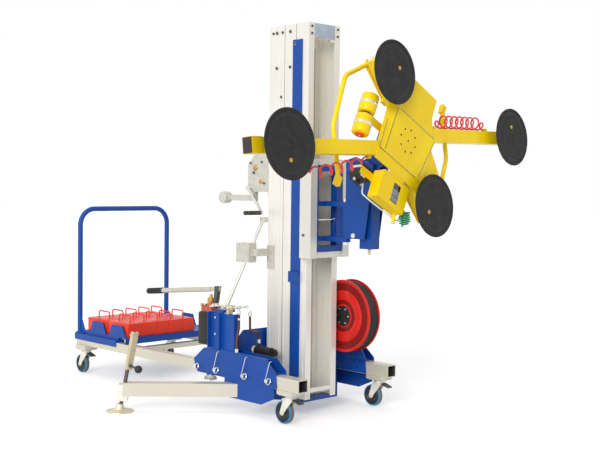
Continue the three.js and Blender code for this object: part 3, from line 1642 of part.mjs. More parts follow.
function buildSlewBracket() {
  const barrelBottom = lugLowerZ + lugThickness + runningGap;
  const barrelTop = lugUpperZ - runningGap;
  const barrel = rodZ(barrelDiameter, barrelBottom, barrelTop, 0, 0);
  const bore = rodZ(boreFor(slewPinDiameter), barrelBottom - cutOverrun, barrelTop + cutOverrun, 0, 0);
  const neck = block(0, webX + weld, -barrelNeckHalf, barrelNeckHalf, barrelBottom, barrelTop);
  const half = cheekHalfWidth;
  const web = block(webX, webX + bracketWall, weld - half, half - weld, cheekBottomZ, cheekTopZ - webTopDrop);
  const shape = outline([
    [webX, cheekTopZ - webTopDrop], [cheekTopX, cheekTopZ], [cheekFrontX, cheekTopZ - cheekCornerDrop],
    [cheekBottomFrontX, cheekBottomZ], [webX + bracketWall * 2, cheekBottomZ], [webX, cheekBottomZ + bracketWall * 2],
  ]);
  const pivotHole = rodY(
    boreFor(tiltPinDiameter), half - bracketWall - cutOverrun, half + cutOverrun, tiltPivotX, tiltPivotZ,
  );
  const cheek = plateY(shape, half - bracketWall, half).subtract(pivotHole);
  const floor = block(
    webX, cheekBottomFrontX - weld, weld - half, half - weld, cheekBottomZ, cheekBottomZ + bracketWall,
  );
  const shelfFront = tiltSleeveRearX + tiltSleeveLength;
  const shelf = block(
    webX, shelfFront, weld - half, half - weld, tiltSleeveTopZ - bracketWall, tiltSleeveTopZ,
  );
  const sleeveHalf = tiltSleeveWidth / 2;
  const sleeve = block(
    tiltSleeveRearX, shelfFront, -sleeveHalf, sleeveHalf, tiltSleeveBottomZ, tiltSleeveTopZ - weld,
  );
  const hollow = block(
    tiltSleeveRearX + bracketWall, shelfFront - bracketWall, bracketWall - sleeveHalf, sleeveHalf - bracketWall,
    tiltSleeveBottomZ - cutOverrun, tiltSleeveTopZ - bracketWall * 2,
  );
  const nippleX = tiltSleeveRearX + tiltSleeveLength / 2;
  const nippleBar = block(
    tiltSleeveRearX + weld, shelfFront - weld, -nippleDiameter, nippleDiameter,
    tiltSleeveBottomZ + bracketWall, tiltSleeveBottomZ + bracketWall * 2,
  );
  const nipple = rodZ(
    nippleDiameter, tiltSleeveBottomZ - nippleLength, tiltSleeveBottomZ + bracketWall * 2, nippleX, 0,
  );
  const boltCap = rodY(boltCapDiameter, half - weld, half + boltCapHeight, boltCapX, boltCapZ);
  const shell = join([web, bothSides(cheek), floor, shelf, sleeve]).subtract(hollow);
  const bracket = join([shell, nippleBar, nipple, bothSides(boltCap), barrel.add(neck).subtract(bore)]);
  return moved(bracket, slewFrame());
}

// Frame of the tilt axis, turned so that its X axis is square to the pads
function tiltFrame() {
  const place = new THREE.Matrix4().makeTranslation(tiltPivotX, 0, tiltPivotZ);
  const turn = new THREE.Matrix4().makeRotationY(-radians(tiltRestAngle));
  return slewFrame().multiply(place).multiply(turn);
}

function buildTiltHead() {
  const barrelHalf = cheekHalfWidth - bracketWall - runningGap;
  const barrel = rodY(tiltBarrelDiameter, -barrelHalf, barrelHalf, 0, 0);
  const pinHalf = cheekHalfWidth + runningGap;
  const pin = rodY(tiltPinDiameter, -pinHalf - weld, pinHalf + weld, 0, 0);
  const pinHead = rodY(tiltPinHeadDiameter, pinHalf, pinHalf + tiltPinHeadLength, 0, 0);
  const plateX0 = spinPlateForward + weld;
  const radius = spinPlateDiameter / 2;
  const cheek = plateY(outline([
    [-tiltWaistHalf, 0], [0, -tiltWaistHalf], [plateX0, spinRise - radius],
    [plateX0, spinRise + radius], [plateX0 - tiltCheekLip, spinRise + radius],
  ]), tiltCheekOffset - tiltCheekThickness, tiltCheekOffset);
  const disc = rodX(spinPlateDiameter, spinPlateForward, spinPlateForward + spinPlateThickness, 0, spinRise, discSides);
  const bore = rodX(
    boreFor(hubPilotDiameter), spinPlateForward - cutOverrun, spinPlateForward + spinPlateThickness + cutOverrun,
    0, spinRise,
  );
  const head = join([barrel, pin, bothSides(pinHead), bothSides(cheek), disc.subtract(bore)]);
  return moved(head, tiltFrame());
}

// Lifter: X square to the glass with zero at the pad lips, Y and Z along the panels

function lifterFrame() {
  const place = new THREE.Matrix4().makeTranslation(lipForward, 0, spinRise);
  const spin = new THREE.Matrix4().makeRotationX(-radians(spinRestAngle));
  return tiltFrame().multiply(place).multiply(spin);
}

// Frame of one arm, X square to the glass and Y outwards along the arm
function armFrame(angle, offset) {
  const turn = new THREE.Matrix4().makeRotationX(angle);
  return turn.multiply(new THREE.Matrix4().makeTranslation(0, 0, offset));
}

const armPlaces = () => {
  const tilt = radians(armAngle);
  return {
    left: armFrame(Math.PI + tilt, longArmOffset),
    right: armFrame(tilt, longArmOffset),
    top: armFrame(Math.PI - tilt, -shortArmOffset),
    bottom: armFrame(-tilt, -shortArmOffset),
  };
};

function armSection(start, end, inset) {
  const half = armHeight / 2 - inset;
  return block(inset - armFront - armDepth, -armFront - inset, start, end, -half, half);
}

const sleeveBore = (end) => armSection(sleeveStart - cutOverrun, end + cutOverrun, armWall);

// Block on an arm that a curly hose is plugged into
function hosePort(place) {
  const half = hosePortSize / 2;
  const depth = -armFront - armDepth / 2;
  const top = armHeight / 2;
  return block(depth - half, depth + half, place - half, place + half, top - weld, top + hosePortHeight);
}

function buildLongArm() {
  const start = longSleeveEnd + slideGap;
  const spigot = armSection(start - longSpigot, start + weld, armWall + slideGap);
  const hollow = armSection(start - longSpigot - cutOverrun, longArmEnd - endCapLength, armWall * 2);
  const tube = armSection(start, longArmEnd - endCapLength + weld, 0);
  const cap = armSection(longArmEnd - endCapLength, longArmEnd, -endCapStep);
  return join([tube, cap, spigot]).subtract(hollow).add(hosePort(hosePortOuter));
}

function buildShortArm() {
  const start = shortSleeveEnd + slideGap;
  const spigot = armSection(start - shortSpigot, start + weld, armWall + slideGap);
  const hollow = armSection(start - shortSpigot - cutOverrun, shortArmEnd - armWall, armWall * 2);
  return join([armSection(start, shortArmEnd, 0), spigot]).subtract(hollow);
}

// Pad at its place on an arm
function buildPad(radius) {
  const lip = padDiameter / 2;
  const boss = padBossDiameter / 2;
  const stem = padStemDiameter / 2;
  const back = seatGap - armFront;
  const profile = [
    [0, back], [stem, back], [stem, -padBossThickness], [boss, -padBossThickness],
    [lip, -padRimThickness],
    [lip, 0], [lip - padLipWidth, 0], [lip - padLipWidth - padRecess, -padRecess],
    [padValveDiameter / 2, -padRecess], [padValveDiameter / 2, -weld], [0, -weld],
  ];
  return shifted(turnedX(profile, padSides), 0, radius, 0);
}

function hubAndHousing() {
  const hubRear = spinPlateForward + spinPlateThickness + runningGap - lipForward;
  const hub = rodX(hubDiameter, hubRear, -lifterFront, 0, 0, discSides);
  const pilot = rodX(hubPilotDiameter, hubRear - hubPilotLength, hubRear + weld, 0, 0);
  const front = -lifterFront;
  const sheet = panelThickness;
  const s0 = -centreHalfLength;
  const s1 = centreHalfLength;
  const p0 = centreBottomP;
  const p1 = centreTopP;
  const plate = plateZ(outline([
    [front - centreFlangeDrop, s0], [front, s0 + centreFlange], [front, s1], [front - sheet, s1],
    [front - sheet, s0 + centreFlange], [front - sheet - centreFlangeDrop, s0],
  ]), p0, p1);
  const back = -lifterBack;
  const walls = [
    block(back, front - weld, s0 + centreFlange, s1, p0, p0 + sheet),
    block(back, front - weld, s0 + centreFlange, s1, p1 - sheet, p1),
    block(back, front - weld, s0 + centreFlange, s0 + centreFlange + sheet, p0, p1),
    block(back, front - weld, s1 - sheet, s1, p0, p1),
  ];
  return join([hub, pilot, plate, ...walls]);
}

function panels() {
  const front = -lifterFront - panelRecess;
  const back = front - panelThickness;
  const upper = plateX(outline([
    [upperWingLeftS, centreTopP - panelLap], [centreHalfLength, centreTopP - panelLap],
    [upperWingRightS, upperWingTopP - upperWingDrop], [upperWingRightS, upperWingTopP],
    [upperWingLeftS, upperWingTopP],
  ]), back, front);
  const lower = plateX(outline([
    [-centreHalfLength, lowerWingBottomP], [lowerWingRightS, lowerWingBottomP],
    [lowerWingRightS, centreBottomP + panelLap], [-centreHalfLength, centreBottomP + panelLap],
  ]), back, front);
  const right = plateX(outline([
    [centreHalfLength - panelLap, centreBottomP], [endPanelRightS, centreBottomP],
    [endPanelRightS, centreBottomP + endPanelSide], [centreHalfLength - panelLap, endPanelTopP],
  ]), back, front);
  const rivets = rivetShares.map(([s, p]) => rodX(
    rivetHeadDiameter, front - weld, front + rivetHeadLength / 2, s * endPanelRightS, p * endPanelRightS, tinySides,
  ));
  return join([upper, lower, right, ...rivets]);
}

// Holes of the central flange, on two circles
function flangeHoles() {
  const front = -lifterFront;
  const holes = [];
  for (let hole = 0; hole < flangeHoleCount; hole += 1) {
    const angle = hole / flangeHoleCount * Math.PI * 2;
    const radius = flangeHoleCircle / 2;
    const s = Math.cos(angle) * radius;
    const p = Math.sin(angle) * radius;
    holes.push(rodX(flangeHoleDiameter, front - flangeHoleDepth, front + cutOverrun, s, p, tinySides));
  }
  holes.push(rodX(flangeHoleDiameter, front - flangeHoleDepth, front + cutOverrun, 0, 0, tinySides));
  return holes;
}

function controlBox() {
  const shape = roundedRect(controlLeftS, controlRightS, controlBottomP, lowerWingBottomP - controlGap, controlCorner);
  const box = plateX(shape, -controlBack, -controlFront);
  const windowCut = block(
    -controlFront - controlWindowDepth, -controlFront + cutOverrun, controlWindow[0], controlWindow[1],
    controlWindow[2], controlWindow[3],
  );
  const neck = block(
    -controlBack + panelRecess, -lifterFront - panelRecess - weld, controlLeftS / 2, controlRightS / 2,
    lowerWingBottomP - controlGap - weld, lowerWingBottomP + weld * 2,
  );
  const mount = block(
    -controlBack - vacuumMountThickness, weld - controlBack, vacuumPumpS - vacuumPumpLength / 2, 0,
    vacuumPumpP - vacuumPortHalf, vacuumPumpP + vacuumPortHalf,
  );
  const stub = straightPipe(
    [-controlBack + stubDiameter, stubStartS, controlBottomP + stubDiameter],
    [-controlBack + stubDiameter, stubEndS, controlBottomP - stubLength], stubDiameter,
  );
  return join([box.subtract(windowCut), neck, mount, stub]);
}

// Bent guard bar with its stand-off on the long sleeve and its strap from the short one
function buildHoop() {
  const depth = -hoopDepth;
  const bar = pipe([
    [depth, hoopStartS, hoopStartP], [depth, hoopUpperS, hoopUpperP],
    [depth, hoopLowerS, hoopLowerP], [depth, hoopEndS, hoopEndP],
  ], hoopTube, hoopBend, smallSides, hoopSteps);
  const endBlock = block(
    depth - hoopTube / 2, depth + hoopTube / 2, hoopEndS - hoopBlockWidth / 2, hoopEndS + hoopBlockWidth / 2,
    hoopEndP - hoopBlock, hoopEndP + hoopTube / 2,
  );
  const armBack = -armFront - armDepth;
  const standoff = block(
    depth, armBack + weld, hoopStandS - hoopStandoff / 2, hoopStandS + hoopStandoff / 2,
    hoopStandP - hoopStandoff / 2, hoopStandP + hoopStandoff / 2,
  );
  const strapBack = depth - hoopStrapThickness / 2;
  const half = hoopStrapWidth / 2;
  const strap = plateX(outline([
    [hoopStartS - half, hoopStartP - half], [hoopStrapEndS, hoopStrapEndP - half],
    [hoopStrapEndS, hoopStrapEndP + half], [hoopStartS - half, hoopStartP + half],
  ]), strapBack, strapBack + hoopStrapThickness);
  const foot = block(
    strapBack, armBack + weld, hoopStrapEndS - hoopStrapWidth, hoopStrapEndS,
    hoopStrapEndP - half, hoopStrapEndP + half,
  );
  return join([bar, endBlock, standoff, strap, foot]);
}

function greenFitting() {
  const start = new THREE.Vector3(greenStartX, greenStartS, greenStartP);
  const along = new THREE.Vector3(0, Math.cos(radians(greenAngle)), Math.sin(radians(greenAngle)));
  const rear = start.clone().addScaledVector(along, -greenFittingLength);
  const face = start.clone().addScaledVector(along, -seatGap);
  return straightPipe(rear.toArray(), face.toArray(), greenFittingDiameter, smallSides);
}

function buildLifterBody() {
  const places = armPlaces();
  const longSleeve = armSection(sleeveStart, longSleeveEnd, 0).add(hosePort(hosePortInner));
  const shortSleeve = armSection(sleeveStart, shortSleeveEnd, 0);
  const sleeves = [
    moved(longSleeve, places.left), moved(longSleeve, places.right),
    moved(shortSleeve, places.top), moved(shortSleeve, places.bottom),
  ];
  const bores = [
    moved(sleeveBore(longSleeveEnd), places.left), moved(sleeveBore(longSleeveEnd), places.right),
    moved(sleeveBore(shortSleeveEnd), places.top), moved(sleeveBore(shortSleeveEnd), places.bottom),
  ];
  const hoop = buildHoop();
  const canisterArm = block(
    -canisterDepth - canisterArmThickness / 2, canisterArmThickness / 2 - canisterDepth,
    canisterS + canisterDiameter / 2 + seatGap, centreFlange - centreHalfLength + weld,
    canisterMiddleP - canisterMount, canisterMiddleP + canisterMount,
  );
  const body = join([
    hubAndHousing(), panels(), controlBox(), greenFitting(), ...sleeves, hoop, hoop.rotate([180, 0, 0]),
    canisterArm,
  ]);
  return moved(cut(body, [...bores, ...flangeHoles()]), lifterFrame());
}

function buildCanisters() {
  const r = canisterDiameter / 2;
  const e = canisterEdge;
  const neck = canisterNeckDiameter / 2;
  const first = canisterNeckLength / 2;
  const last = first + canisterLength;
  const upper = [[neck, first], [r - e, first], [r, first + e], [r, last - e], [r - e, last]];
  const lower = upper.map(([radius, z]) => [radius, -z]).reverse();
  const solid = turnedZ([[0, -last], ...lower, ...upper, [0, last]], roundSides);
  return moved(shifted(solid, -canisterDepth, canisterS, canisterMiddleP), lifterFrame());
}

function buildVacuumPump() {
  const back = -controlBack - vacuumMountThickness - seatGap;
  const halfLength = vacuumPumpLength / 2;
  const halfHeight = vacuumPumpHeight / 2;
  const c = vacuumPumpChamfer;
  const shape = outline([
    [-halfLength, -halfHeight + c], [c - halfLength, -halfHeight], [halfLength - c, -halfHeight],
    [halfLength, c - halfHeight], [halfLength, halfHeight], [-halfLength, halfHeight],
  ]);
  const box = plateX(shape, back - vacuumPumpDepth, back);
  const plug = rodZ(
    vacuumPlugDiameter, -halfHeight - vacuumPlugLength, weld - halfHeight, back - vacuumPumpDepth / 2, 0,
  );
  return moved(shifted(box.add(plug), 0, vacuumPumpS, vacuumPumpP), lifterFrame());
}

// Curled hose that starts and ends straight on one line, its curls touching that line from one side
function curledRoute(length, curls, radius) {
  const lead = hoseDiameter / length;
  const steps = curls * hoseStepsPerCurl;
  const knots = [new THREE.Vector3(0, 0, 0)];
  for (let step = 0; step <= steps; step += 1) {
    const share = step / steps;
    const rise = Math.min(share * curls / curlRampTurns, (1 - share) * curls / curlRampTurns, 1);
    const swell = radius * THREE.MathUtils.smoothstep(rise, 0, 1);
    const angle = share * curls * Math.PI * 2;
    const along = length * (lead + share * (1 - 2 * lead));
    knots.push(new THREE.Vector3(Math.sin(angle) * swell, along, (1 - Math.cos(angle)) * swell));
  }
  knots.push(new THREE.Vector3(0, length, 0));
  return knots;
}

// Smallest free space between one turn of a wound route and the next
function leastGap(knots, stepsPerTurn, diameter) {
  let least = Infinity;
  for (let i = 0; i < knots.length; i += 1) {
    for (let j = i + Math.ceil(stepsPerTurn / 2); j < knots.length; j += 1) {
      least = Math.min(least, knots[i].distanceTo(knots[j]) - diameter);
    }
  }
  return least;
}

function reportGap(name, knots, stepsPerTurn, diameter) {
  console.log(`${name}: least gap ${leastGap(knots, stepsPerTurn, diameter).toFixed(2)} mm`);
}

function buildArmHose(name, place, curls) {
  const half = hosePortSize / 2;
  const start = hosePortInner + half + seatGap;
  const end = hosePortOuter - half - seatGap;
  const radius = hoseCoilDiameter / 2;
  const knots = curledRoute(end - start, curls, radius);
  reportGap(name, knots, hoseStepsPerCurl, hoseDiameter);
  const hose = toSolid(sweep(knots, hoseDiameter, hoseSides));
  const depth = -armFront - armDepth / 2;
  const level = armHeight / 2 + hosePortHeight - hoseDiameter;
  return moved(shifted(hose, depth, start, level), lifterFrame().multiply(place));
}

function buildGreenHose() {
  const length = greenCurls * greenPitch;
  const knots = curledRoute(length, greenCurls, greenCoilDiameter / 2);
  reportGap('hose_green', knots, hoseStepsPerCurl, hoseDiameter);
  const hose = toSolid(sweep(knots, hoseDiameter, hoseSides));
  const turn = new THREE.Matrix4().makeTranslation(greenStartX, greenStartS, greenStartP);
  turn.multiply(new THREE.Matrix4().makeRotationX(radians(greenAngle)));
  return moved(hose, lifterFrame().multiply(turn));
}

// Cable reel

function buildReel() {
  const bore = boreFor(reelAxleDiameter, reelSides) / 2;
  const rim = reelDiameter / 2;
  const drum = reelCoreDiameter / 2;
  const inner = drum - reelCoreWall;
  const sleeve = reelSleeveDiameter / 2;
  const far = reelWidth - reelFlange;
  const edge = reelRimThickness - reelFlange;
  const profile = [
    [bore, reelFlange + weld], [bore, far], [sleeve, far], [sleeve, reelFlange], [inner, reelFlange],
    [inner, reelWidth], [rim, reelWidth], [rim, far - edge], [rim - edge, far], [drum, far],
    [drum, reelFlange], [rim - edge, reelFlange], [rim, reelFlange + edge], [rim, 0], [0, 0],
    [0, reelFlange + weld], [bore, reelFlange + weld],
  ];
  const spool = turnedY(profile, reelSides);
  const hub = rodY(reelHubDiameter, -reelHubThickness, weld, 0, 0);
  const bolts = [];
  for (let bolt = 0; bolt < reelBoltCount; bolt += 1) {
    const angle = bolt / reelBoltCount * Math.PI * 2;
    const x = Math.cos(angle) * reelBoltCircle / 2;
    const z = Math.sin(angle) * reelBoltCircle / 2;
    bolts.push(rodY(reelBoltDiameter, -reelHubThickness - weld, 0, x, z, hexSides));
  }
  return shifted(join([spool, hub, ...bolts]), reelX, reelNearY, reelZ);
}

function buildReelCable() {
  const chordLift = Math.cos(Math.PI / cableStepsPerLoop);
  const radius = ((reelCoreDiameter + cableDiameter) / 2 + seatGap) / chordLift;
  const steps = cableLoops * cableStepsPerLoop;
  const knots = [];
  const startY = reelNearY + reelFlange + cableDiameter / 2 + runningGap * 2;
  for (let step = 0; step <= steps; step += 1) {
    const angle = step / cableStepsPerLoop * Math.PI * 2;
    const y = startY + step / cableStepsPerLoop * cablePitch;
    knots.push(new THREE.Vector3(reelX + Math.cos(angle) * radius, y, reelZ + Math.sin(angle) * radius));
  }
  reportGap('reel_cable', knots, cableStepsPerLoop, cableDiameter);
  return toSolid(sweep(knots, cableDiameter, cableSides));
}

// Winch on the back of the mast

function buildWinch() {
  const nearY = winchNearY;
  const farY = winchNearY + winchInnerWidth + winchWall * 2;
  const mountX = mastRearX - seatGap;
  const backPlate = block(
    mountX - winchWall, mountX, nearY + winchWall, nearY + winchWall + winchPlateWidth,
    winchBottomZ - winchCorner, winchTopZ,
  );
  const side = outline([
    [mountX, winchBottomZ], [mountX, winchTopZ], [winchRearX + winchCorner * 2, winchTopZ],
    [winchRearX, winchTopZ - winchCorner * 2], [winchRearX, winchBottomZ + winchCorner],
    [winchRearX + winchCorner, winchBottomZ],
  ]);
  const nearPlate = plateY(side, nearY, nearY + winchWall);
  const farPlate = plateY(side, farY - winchWall, farY);
  const drum = rodY(winchDrumDiameter, nearY + weld, farY - weld, winchDrumX, winchDrumZ);
  const shaft = rodY(crankShaftDiameter, nearY + weld, farY - weld, winchShaftX, winchShaftZ);
  const gear = rodY(
    winchGearDiameter, farY - winchWall - winchGearThickness * 2, farY - winchWall - winchGearThickness,
    winchDrumX, winchDrumZ, discSides,
  );
  const bearing = rodY(crankHubDiameter, nearY - winchBearingLength, nearY + weld, crankPivotX, crankPivotZ);
  const bore = rodY(
    boreFor(crankShaftDiameter), nearY - winchBearingLength - cutOverrun, farY - winchWall * 2,
    crankPivotX, crankPivotZ,
  );
  const armFront = winchRearX + winchCorner;
  const armY = nearY + winchWall + guideArmThickness;
  const arm = block(
    armFront - guideArmLength, armFront + winchCorner, armY, armY + guideArmThickness,
    guideArmZ - guideArmHeight / 2, guideArmZ + guideArmHeight / 2,
  );
  const hanger = block(
    armFront, armFront + winchCorner, nearY + weld, armY + guideArmThickness,
    guideArmZ - guideArmHeight / 2, winchBottomZ + winchCorner,
  );
  const bossX = armFront - guideArmLength;
  const boss = rodY(
    guideBossDiameter, armY - guideBossLength / 2, armY + guideArmThickness + guideBossLength / 2,
    bossX, guideArmZ,
  );
  return join([backPlate, nearPlate, farPlate, drum, shaft, gear, arm, hanger, boss, bearing]).subtract(bore);
}

function buildWinchCrank() {
  const startY = winchNearY - winchBearingLength - runningGap;
  const armY = startY - winchCrankThickness;
  const shaft = rodY(crankShaftDiameter, startY - weld, winchNearY + winchWall, 0, 0);
  const eye = rodY(crankHubDiameter, armY, startY, 0, 0);
  const half = winchCrankWidth / 2;
  const bar = block(0, winchCrankLength, armY, startY, -half, half);
  const end = rodY(winchCrankWidth, armY, startY, winchCrankLength, 0);
  const grip = rodY(winchGripDiameter, armY - winchGripLength, armY + weld, winchCrankLength, 0);
  const crank = join([shaft, eye, bar, end, grip]);
  const place = new THREE.Matrix4().makeTranslation(crankPivotX, 0, crankPivotZ);
  return moved(crank, place.multiply(new THREE.Matrix4().makeRotationY(radians(winchCrankAngle))));
}

// Brace from the pump bracket to the mast, with its clamp

const strutTop = [mastRearX - strutTopSetback, strutTopY, strutTopZ];
const strutBottom = [
  strutShelfRearX + strutFootSetback, strutShelfFarY - strutFootOutset, bracketTopZ + strutFootRise,
];

// Point on the strut's centre line at a height
function strutPoint(z) {
  const share = (strutTop[2] - z) / (strutTop[2] - strutBottom[2]);
  return strutTop.map((value, axis) => value + (strutBottom[axis] - value) * share);
}

function buildStrut() {
  const shelfZ = bracketTopZ + strutShelfThickness + seatGap;
  const [footX, footY] = strutPoint(shelfZ);
  const bar = straightPipe(strutPoint(shelfZ + strutFootThickness), strutTop, strutDiameter);
  const half = strutFootSize / 2;
  const foot = block(footX - half, footX + half, footY - half, footY + half, shelfZ, shelfZ + strutFootThickness);
  const mountX = mastRearX - seatGap;
  const lug = block(
    strutTop[0] - strutDiameter, mountX, strutTop[1] - strutLugThickness / 2,
    strutTop[1] + strutLugWidth, strutTop[2] - strutLugHeight / 2, strutTop[2] + strutLugHeight / 2,
  );
  return join([bar, foot, lug]);
}

function buildClamp() {
  const [x, y] = strutPoint(clampZ);
  const box = block(
    x + clampWidth / 2 - clampLength, x + clampWidth / 2, y - clampWidth / 2, y + clampWidth / 2,
    clampZ - clampHeight / 2, clampZ + clampHeight / 2,
  );
  const low = strutPoint(clampZ - clampHeight);
  const high = strutPoint(clampZ + clampHeight);
  const bore = straightPipe(low, high, strutDiameter + 2 * seatGap);
  const faceY = -halfMast - seatGap;
  const plate = block(
    mastRearX - weld, mastRearX + clampPlateLength, faceY - clampPlateThickness, faceY,
    clampPlateBottomZ, clampPlateBottomZ + clampPlateHeight,
  );
  const arm = block(
    x + clampWidth / 2 - weld, mastRearX + clampPlateLap, y - clampPlateHalf, faceY - clampPlateThickness / 2,
    clampArmZ, clampArmZ + clampArmHeight,
  );
  const bolt = rodY(
    mastBoltDiameter, faceY - clampPlateThickness - mastBoltLength, faceY - weld,
    mastRearX + clampPlateLength / 2, clampArmZ + clampArmHeight / 2, hexSides,
  );
  return join([box.subtract(bore), arm, plate, bolt]);
}

// Assembly

function lifterPieces() {
  const places = armPlaces();
  const arm = buildLongArm();
  const shortArm = buildShortArm();
  const longPad = buildPad(longPadRadius);
  const shortPad = buildPad(shortPadRadius);
  const onLifter = (solid, place) => moved(solid, lifterFrame().multiply(place));
  return [
    piece('lifter_body', buildLifterBody(), yellowPaint),
    piece('lifter_arm_left', onLifter(arm, places.left), yellowPaint),
    piece('lifter_arm_right', onLifter(arm, places.right), yellowPaint),
    piece('lifter_arm_top', onLifter(shortArm, places.top), yellowPaint),
    piece('lifter_arm_bottom', onLifter(shortArm, places.bottom), yellowPaint),
    piece('suction_pad_left', onLifter(longPad, places.left), blackRubber),
    piece('suction_pad_right', onLifter(longPad, places.right), blackRubber),
    piece('suction_pad_top', onLifter(shortPad, places.top), blackRubber),
    piece('suction_pad_bottom', onLifter(shortPad, places.bottom), blackRubber),
    piece('vacuum_canisters', buildCanisters(), yellowPaint),
    piece('lifter_pump', buildVacuumPump(), blackPlastic),
    piece('hose_left', buildArmHose('hose_left', places.left, leftCurls), redHose),
    piece('hose_right', buildArmHose('hose_right', places.right, rightCurls), redHose),
    piece('hose_green', buildGreenHose(), greenHose),
  ];
}

const crane = new THREE.Group();
crane.name = 'floor_crane';
crane.add(
  piece('chassis_frame', buildChassis(), bluePaint),
  piece('rear_frame', buildRearFrame(), galvanised),
  piece('leg_near', buildLeg(-1), galvanised),
  piece('leg_far', buildLeg(1), galvanised),
  ...casters(),
  piece('ballast_platform', buildPlatform(), bluePaint),
  ...weights(),
  piece('push_handle', buildPushHandle(), bluePaint),
  piece('outrigger_arm', buildOutrigger(), galvanised),
  piece('jack_spindle', buildSpindle(), zincYellow),
  piece('jack_crank', buildCrank(), zincYellow),
  piece('pump_tank', buildTank(), blackPlastic),
  piece('pump_body', buildPump(), castRed),
  piece('pump_lever', buildLever(), galvanised),
  piece('pump_hose', buildPumpHose(), blackPlastic),
  piece('tilt_cylinder', buildCylinder(), blackPlastic),
  piece('mast_base', buildMastBase(), aluminium),
  piece('mast_middle', buildMastMid(), aluminium),
  piece('mast_front', buildMastFront(), aluminium),
  piece('mast_guard', buildGuard(), bluePaint),
  piece('carriage_rails', buildCarriageRails(), aluminium),
  piece('carriage_frame', buildCarriageFrame(), bluePaint),
  piece('slew_bracket', buildSlewBracket(), bluePaint),
  piece('tilt_head', buildTiltHead(), bluePaint),
  ...lifterPieces(),
  piece('cable_reel', buildReel(), redPaint),
  piece('reel_cable', buildReelCable(), blackRubber),
  piece('winch', buildWinch(), galvanised),
  piece('winch_crank', buildWinchCrank(), galvanised),
  piece('brace_strut', buildStrut(), galvanised),
  piece('brace_clamp', buildClamp(), galvanised),
);

// The finished crane stands on the origin, centred on its length and width
const extent = new THREE.Box3().setFromObject(crane);
const middle = extent.getCenter(new THREE.Vector3());
crane.children.forEach((mesh) => mesh.geometry.translate(-middle.x, -middle.y, -extent.min.z));

export default crane;
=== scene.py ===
import math
import bpy
import bmesh
from mathutils import Matrix, Vector


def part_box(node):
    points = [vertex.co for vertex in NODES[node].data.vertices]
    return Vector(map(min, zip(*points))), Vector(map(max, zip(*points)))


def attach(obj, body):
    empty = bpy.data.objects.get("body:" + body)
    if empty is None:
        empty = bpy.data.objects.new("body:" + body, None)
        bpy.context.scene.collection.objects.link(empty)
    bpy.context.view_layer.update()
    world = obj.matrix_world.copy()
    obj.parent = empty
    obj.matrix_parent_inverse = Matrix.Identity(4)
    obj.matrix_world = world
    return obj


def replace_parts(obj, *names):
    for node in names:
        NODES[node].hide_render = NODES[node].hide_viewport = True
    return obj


# Floor crane with a vacuum lifter. Lengths in the calls below are millimetres in the
# part's own drawing frame: +X from the ballast to the load, +Y to the far side, +Z up.
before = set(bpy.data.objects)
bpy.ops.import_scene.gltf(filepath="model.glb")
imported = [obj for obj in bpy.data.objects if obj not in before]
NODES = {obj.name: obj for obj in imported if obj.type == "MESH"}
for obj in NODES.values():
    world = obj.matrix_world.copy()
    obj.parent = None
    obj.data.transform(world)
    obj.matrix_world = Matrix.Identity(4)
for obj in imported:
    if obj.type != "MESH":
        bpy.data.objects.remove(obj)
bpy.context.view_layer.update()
MM = 0.001

# The drawing frame starts on the floor below the front axles. Its offset from the packed
# frame is read off two solids, and this length is in metres.
TRAY_FRONT_X = -1.457
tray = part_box("ballast_platform")
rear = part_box("rear_frame")
SHIFT = Vector((tray[1].x - TRAY_FRONT_X, (rear[0].y + rear[1].y) / 2, 0))
BASE = Matrix.Translation(SHIFT)


def move(x, y, z):
    return Matrix.Translation(Vector((x, y, z)) * MM)


def turn(axis, degrees):
    return Matrix.Rotation(math.radians(degrees), 4, axis)


HALF_TRACK = 356.5
OUTRIGGER_ANGLE = 47.7
SIDE_FACE = HALF_TRACK + 35.5 + 5
JACK_REACH = -631
JACK_LEAN = 10
LONG_ARM_TURN = 29.5
LONG_ARM_DEPTH, SHORT_ARM_DEPTH = 36.6, -65
OUT = BASE @ move(-400, -SIDE_FACE, 0) @ turn("Z", OUTRIGGER_ANGLE)
JACK = OUT @ move(JACK_REACH, 0, 0) @ turn("Y", JACK_LEAN)
CRANK = JACK @ turn("Z", -OUTRIGGER_ANGLE)
SLEW = BASE @ move(97, 0, 0) @ turn("Z", 3.24)
TILT = SLEW @ move(200, 0, 1370) @ turn("Y", -5.19)
LIFT = TILT @ move(287, 0, 141.6) @ turn("X", -28.5)
ARMS = {
    "left": LIFT @ turn("X", 180 + LONG_ARM_TURN) @ move(0, 0, LONG_ARM_DEPTH),
    "right": LIFT @ turn("X", LONG_ARM_TURN) @ move(0, 0, LONG_ARM_DEPTH),
    "top": LIFT @ turn("X", 180 - LONG_ARM_TURN) @ move(0, 0, SHORT_ARM_DEPTH),
    "bottom": LIFT @ turn("X", -LONG_ARM_TURN) @ move(0, 0, SHORT_ARM_DEPTH),
}
LEVER = BASE @ move(-604, -335, 682) @ turn("Y", -5.7)
WINCH_CRANK = BASE @ move(-570, 0, 1270) @ turn("Y", 49)


# Camera of the photograph: yaw, pitch and roll in degrees, place in metres
CAMERA_ANGLES = (46.1377, 2.3315, 0.6909)
CAMERA_PLACE = (4.1262, -4.2244, 1.3089)
FOCAL_PIXELS = 1050.93
PHOTO_WIDTH = 600
SENSOR_WIDTH = 36


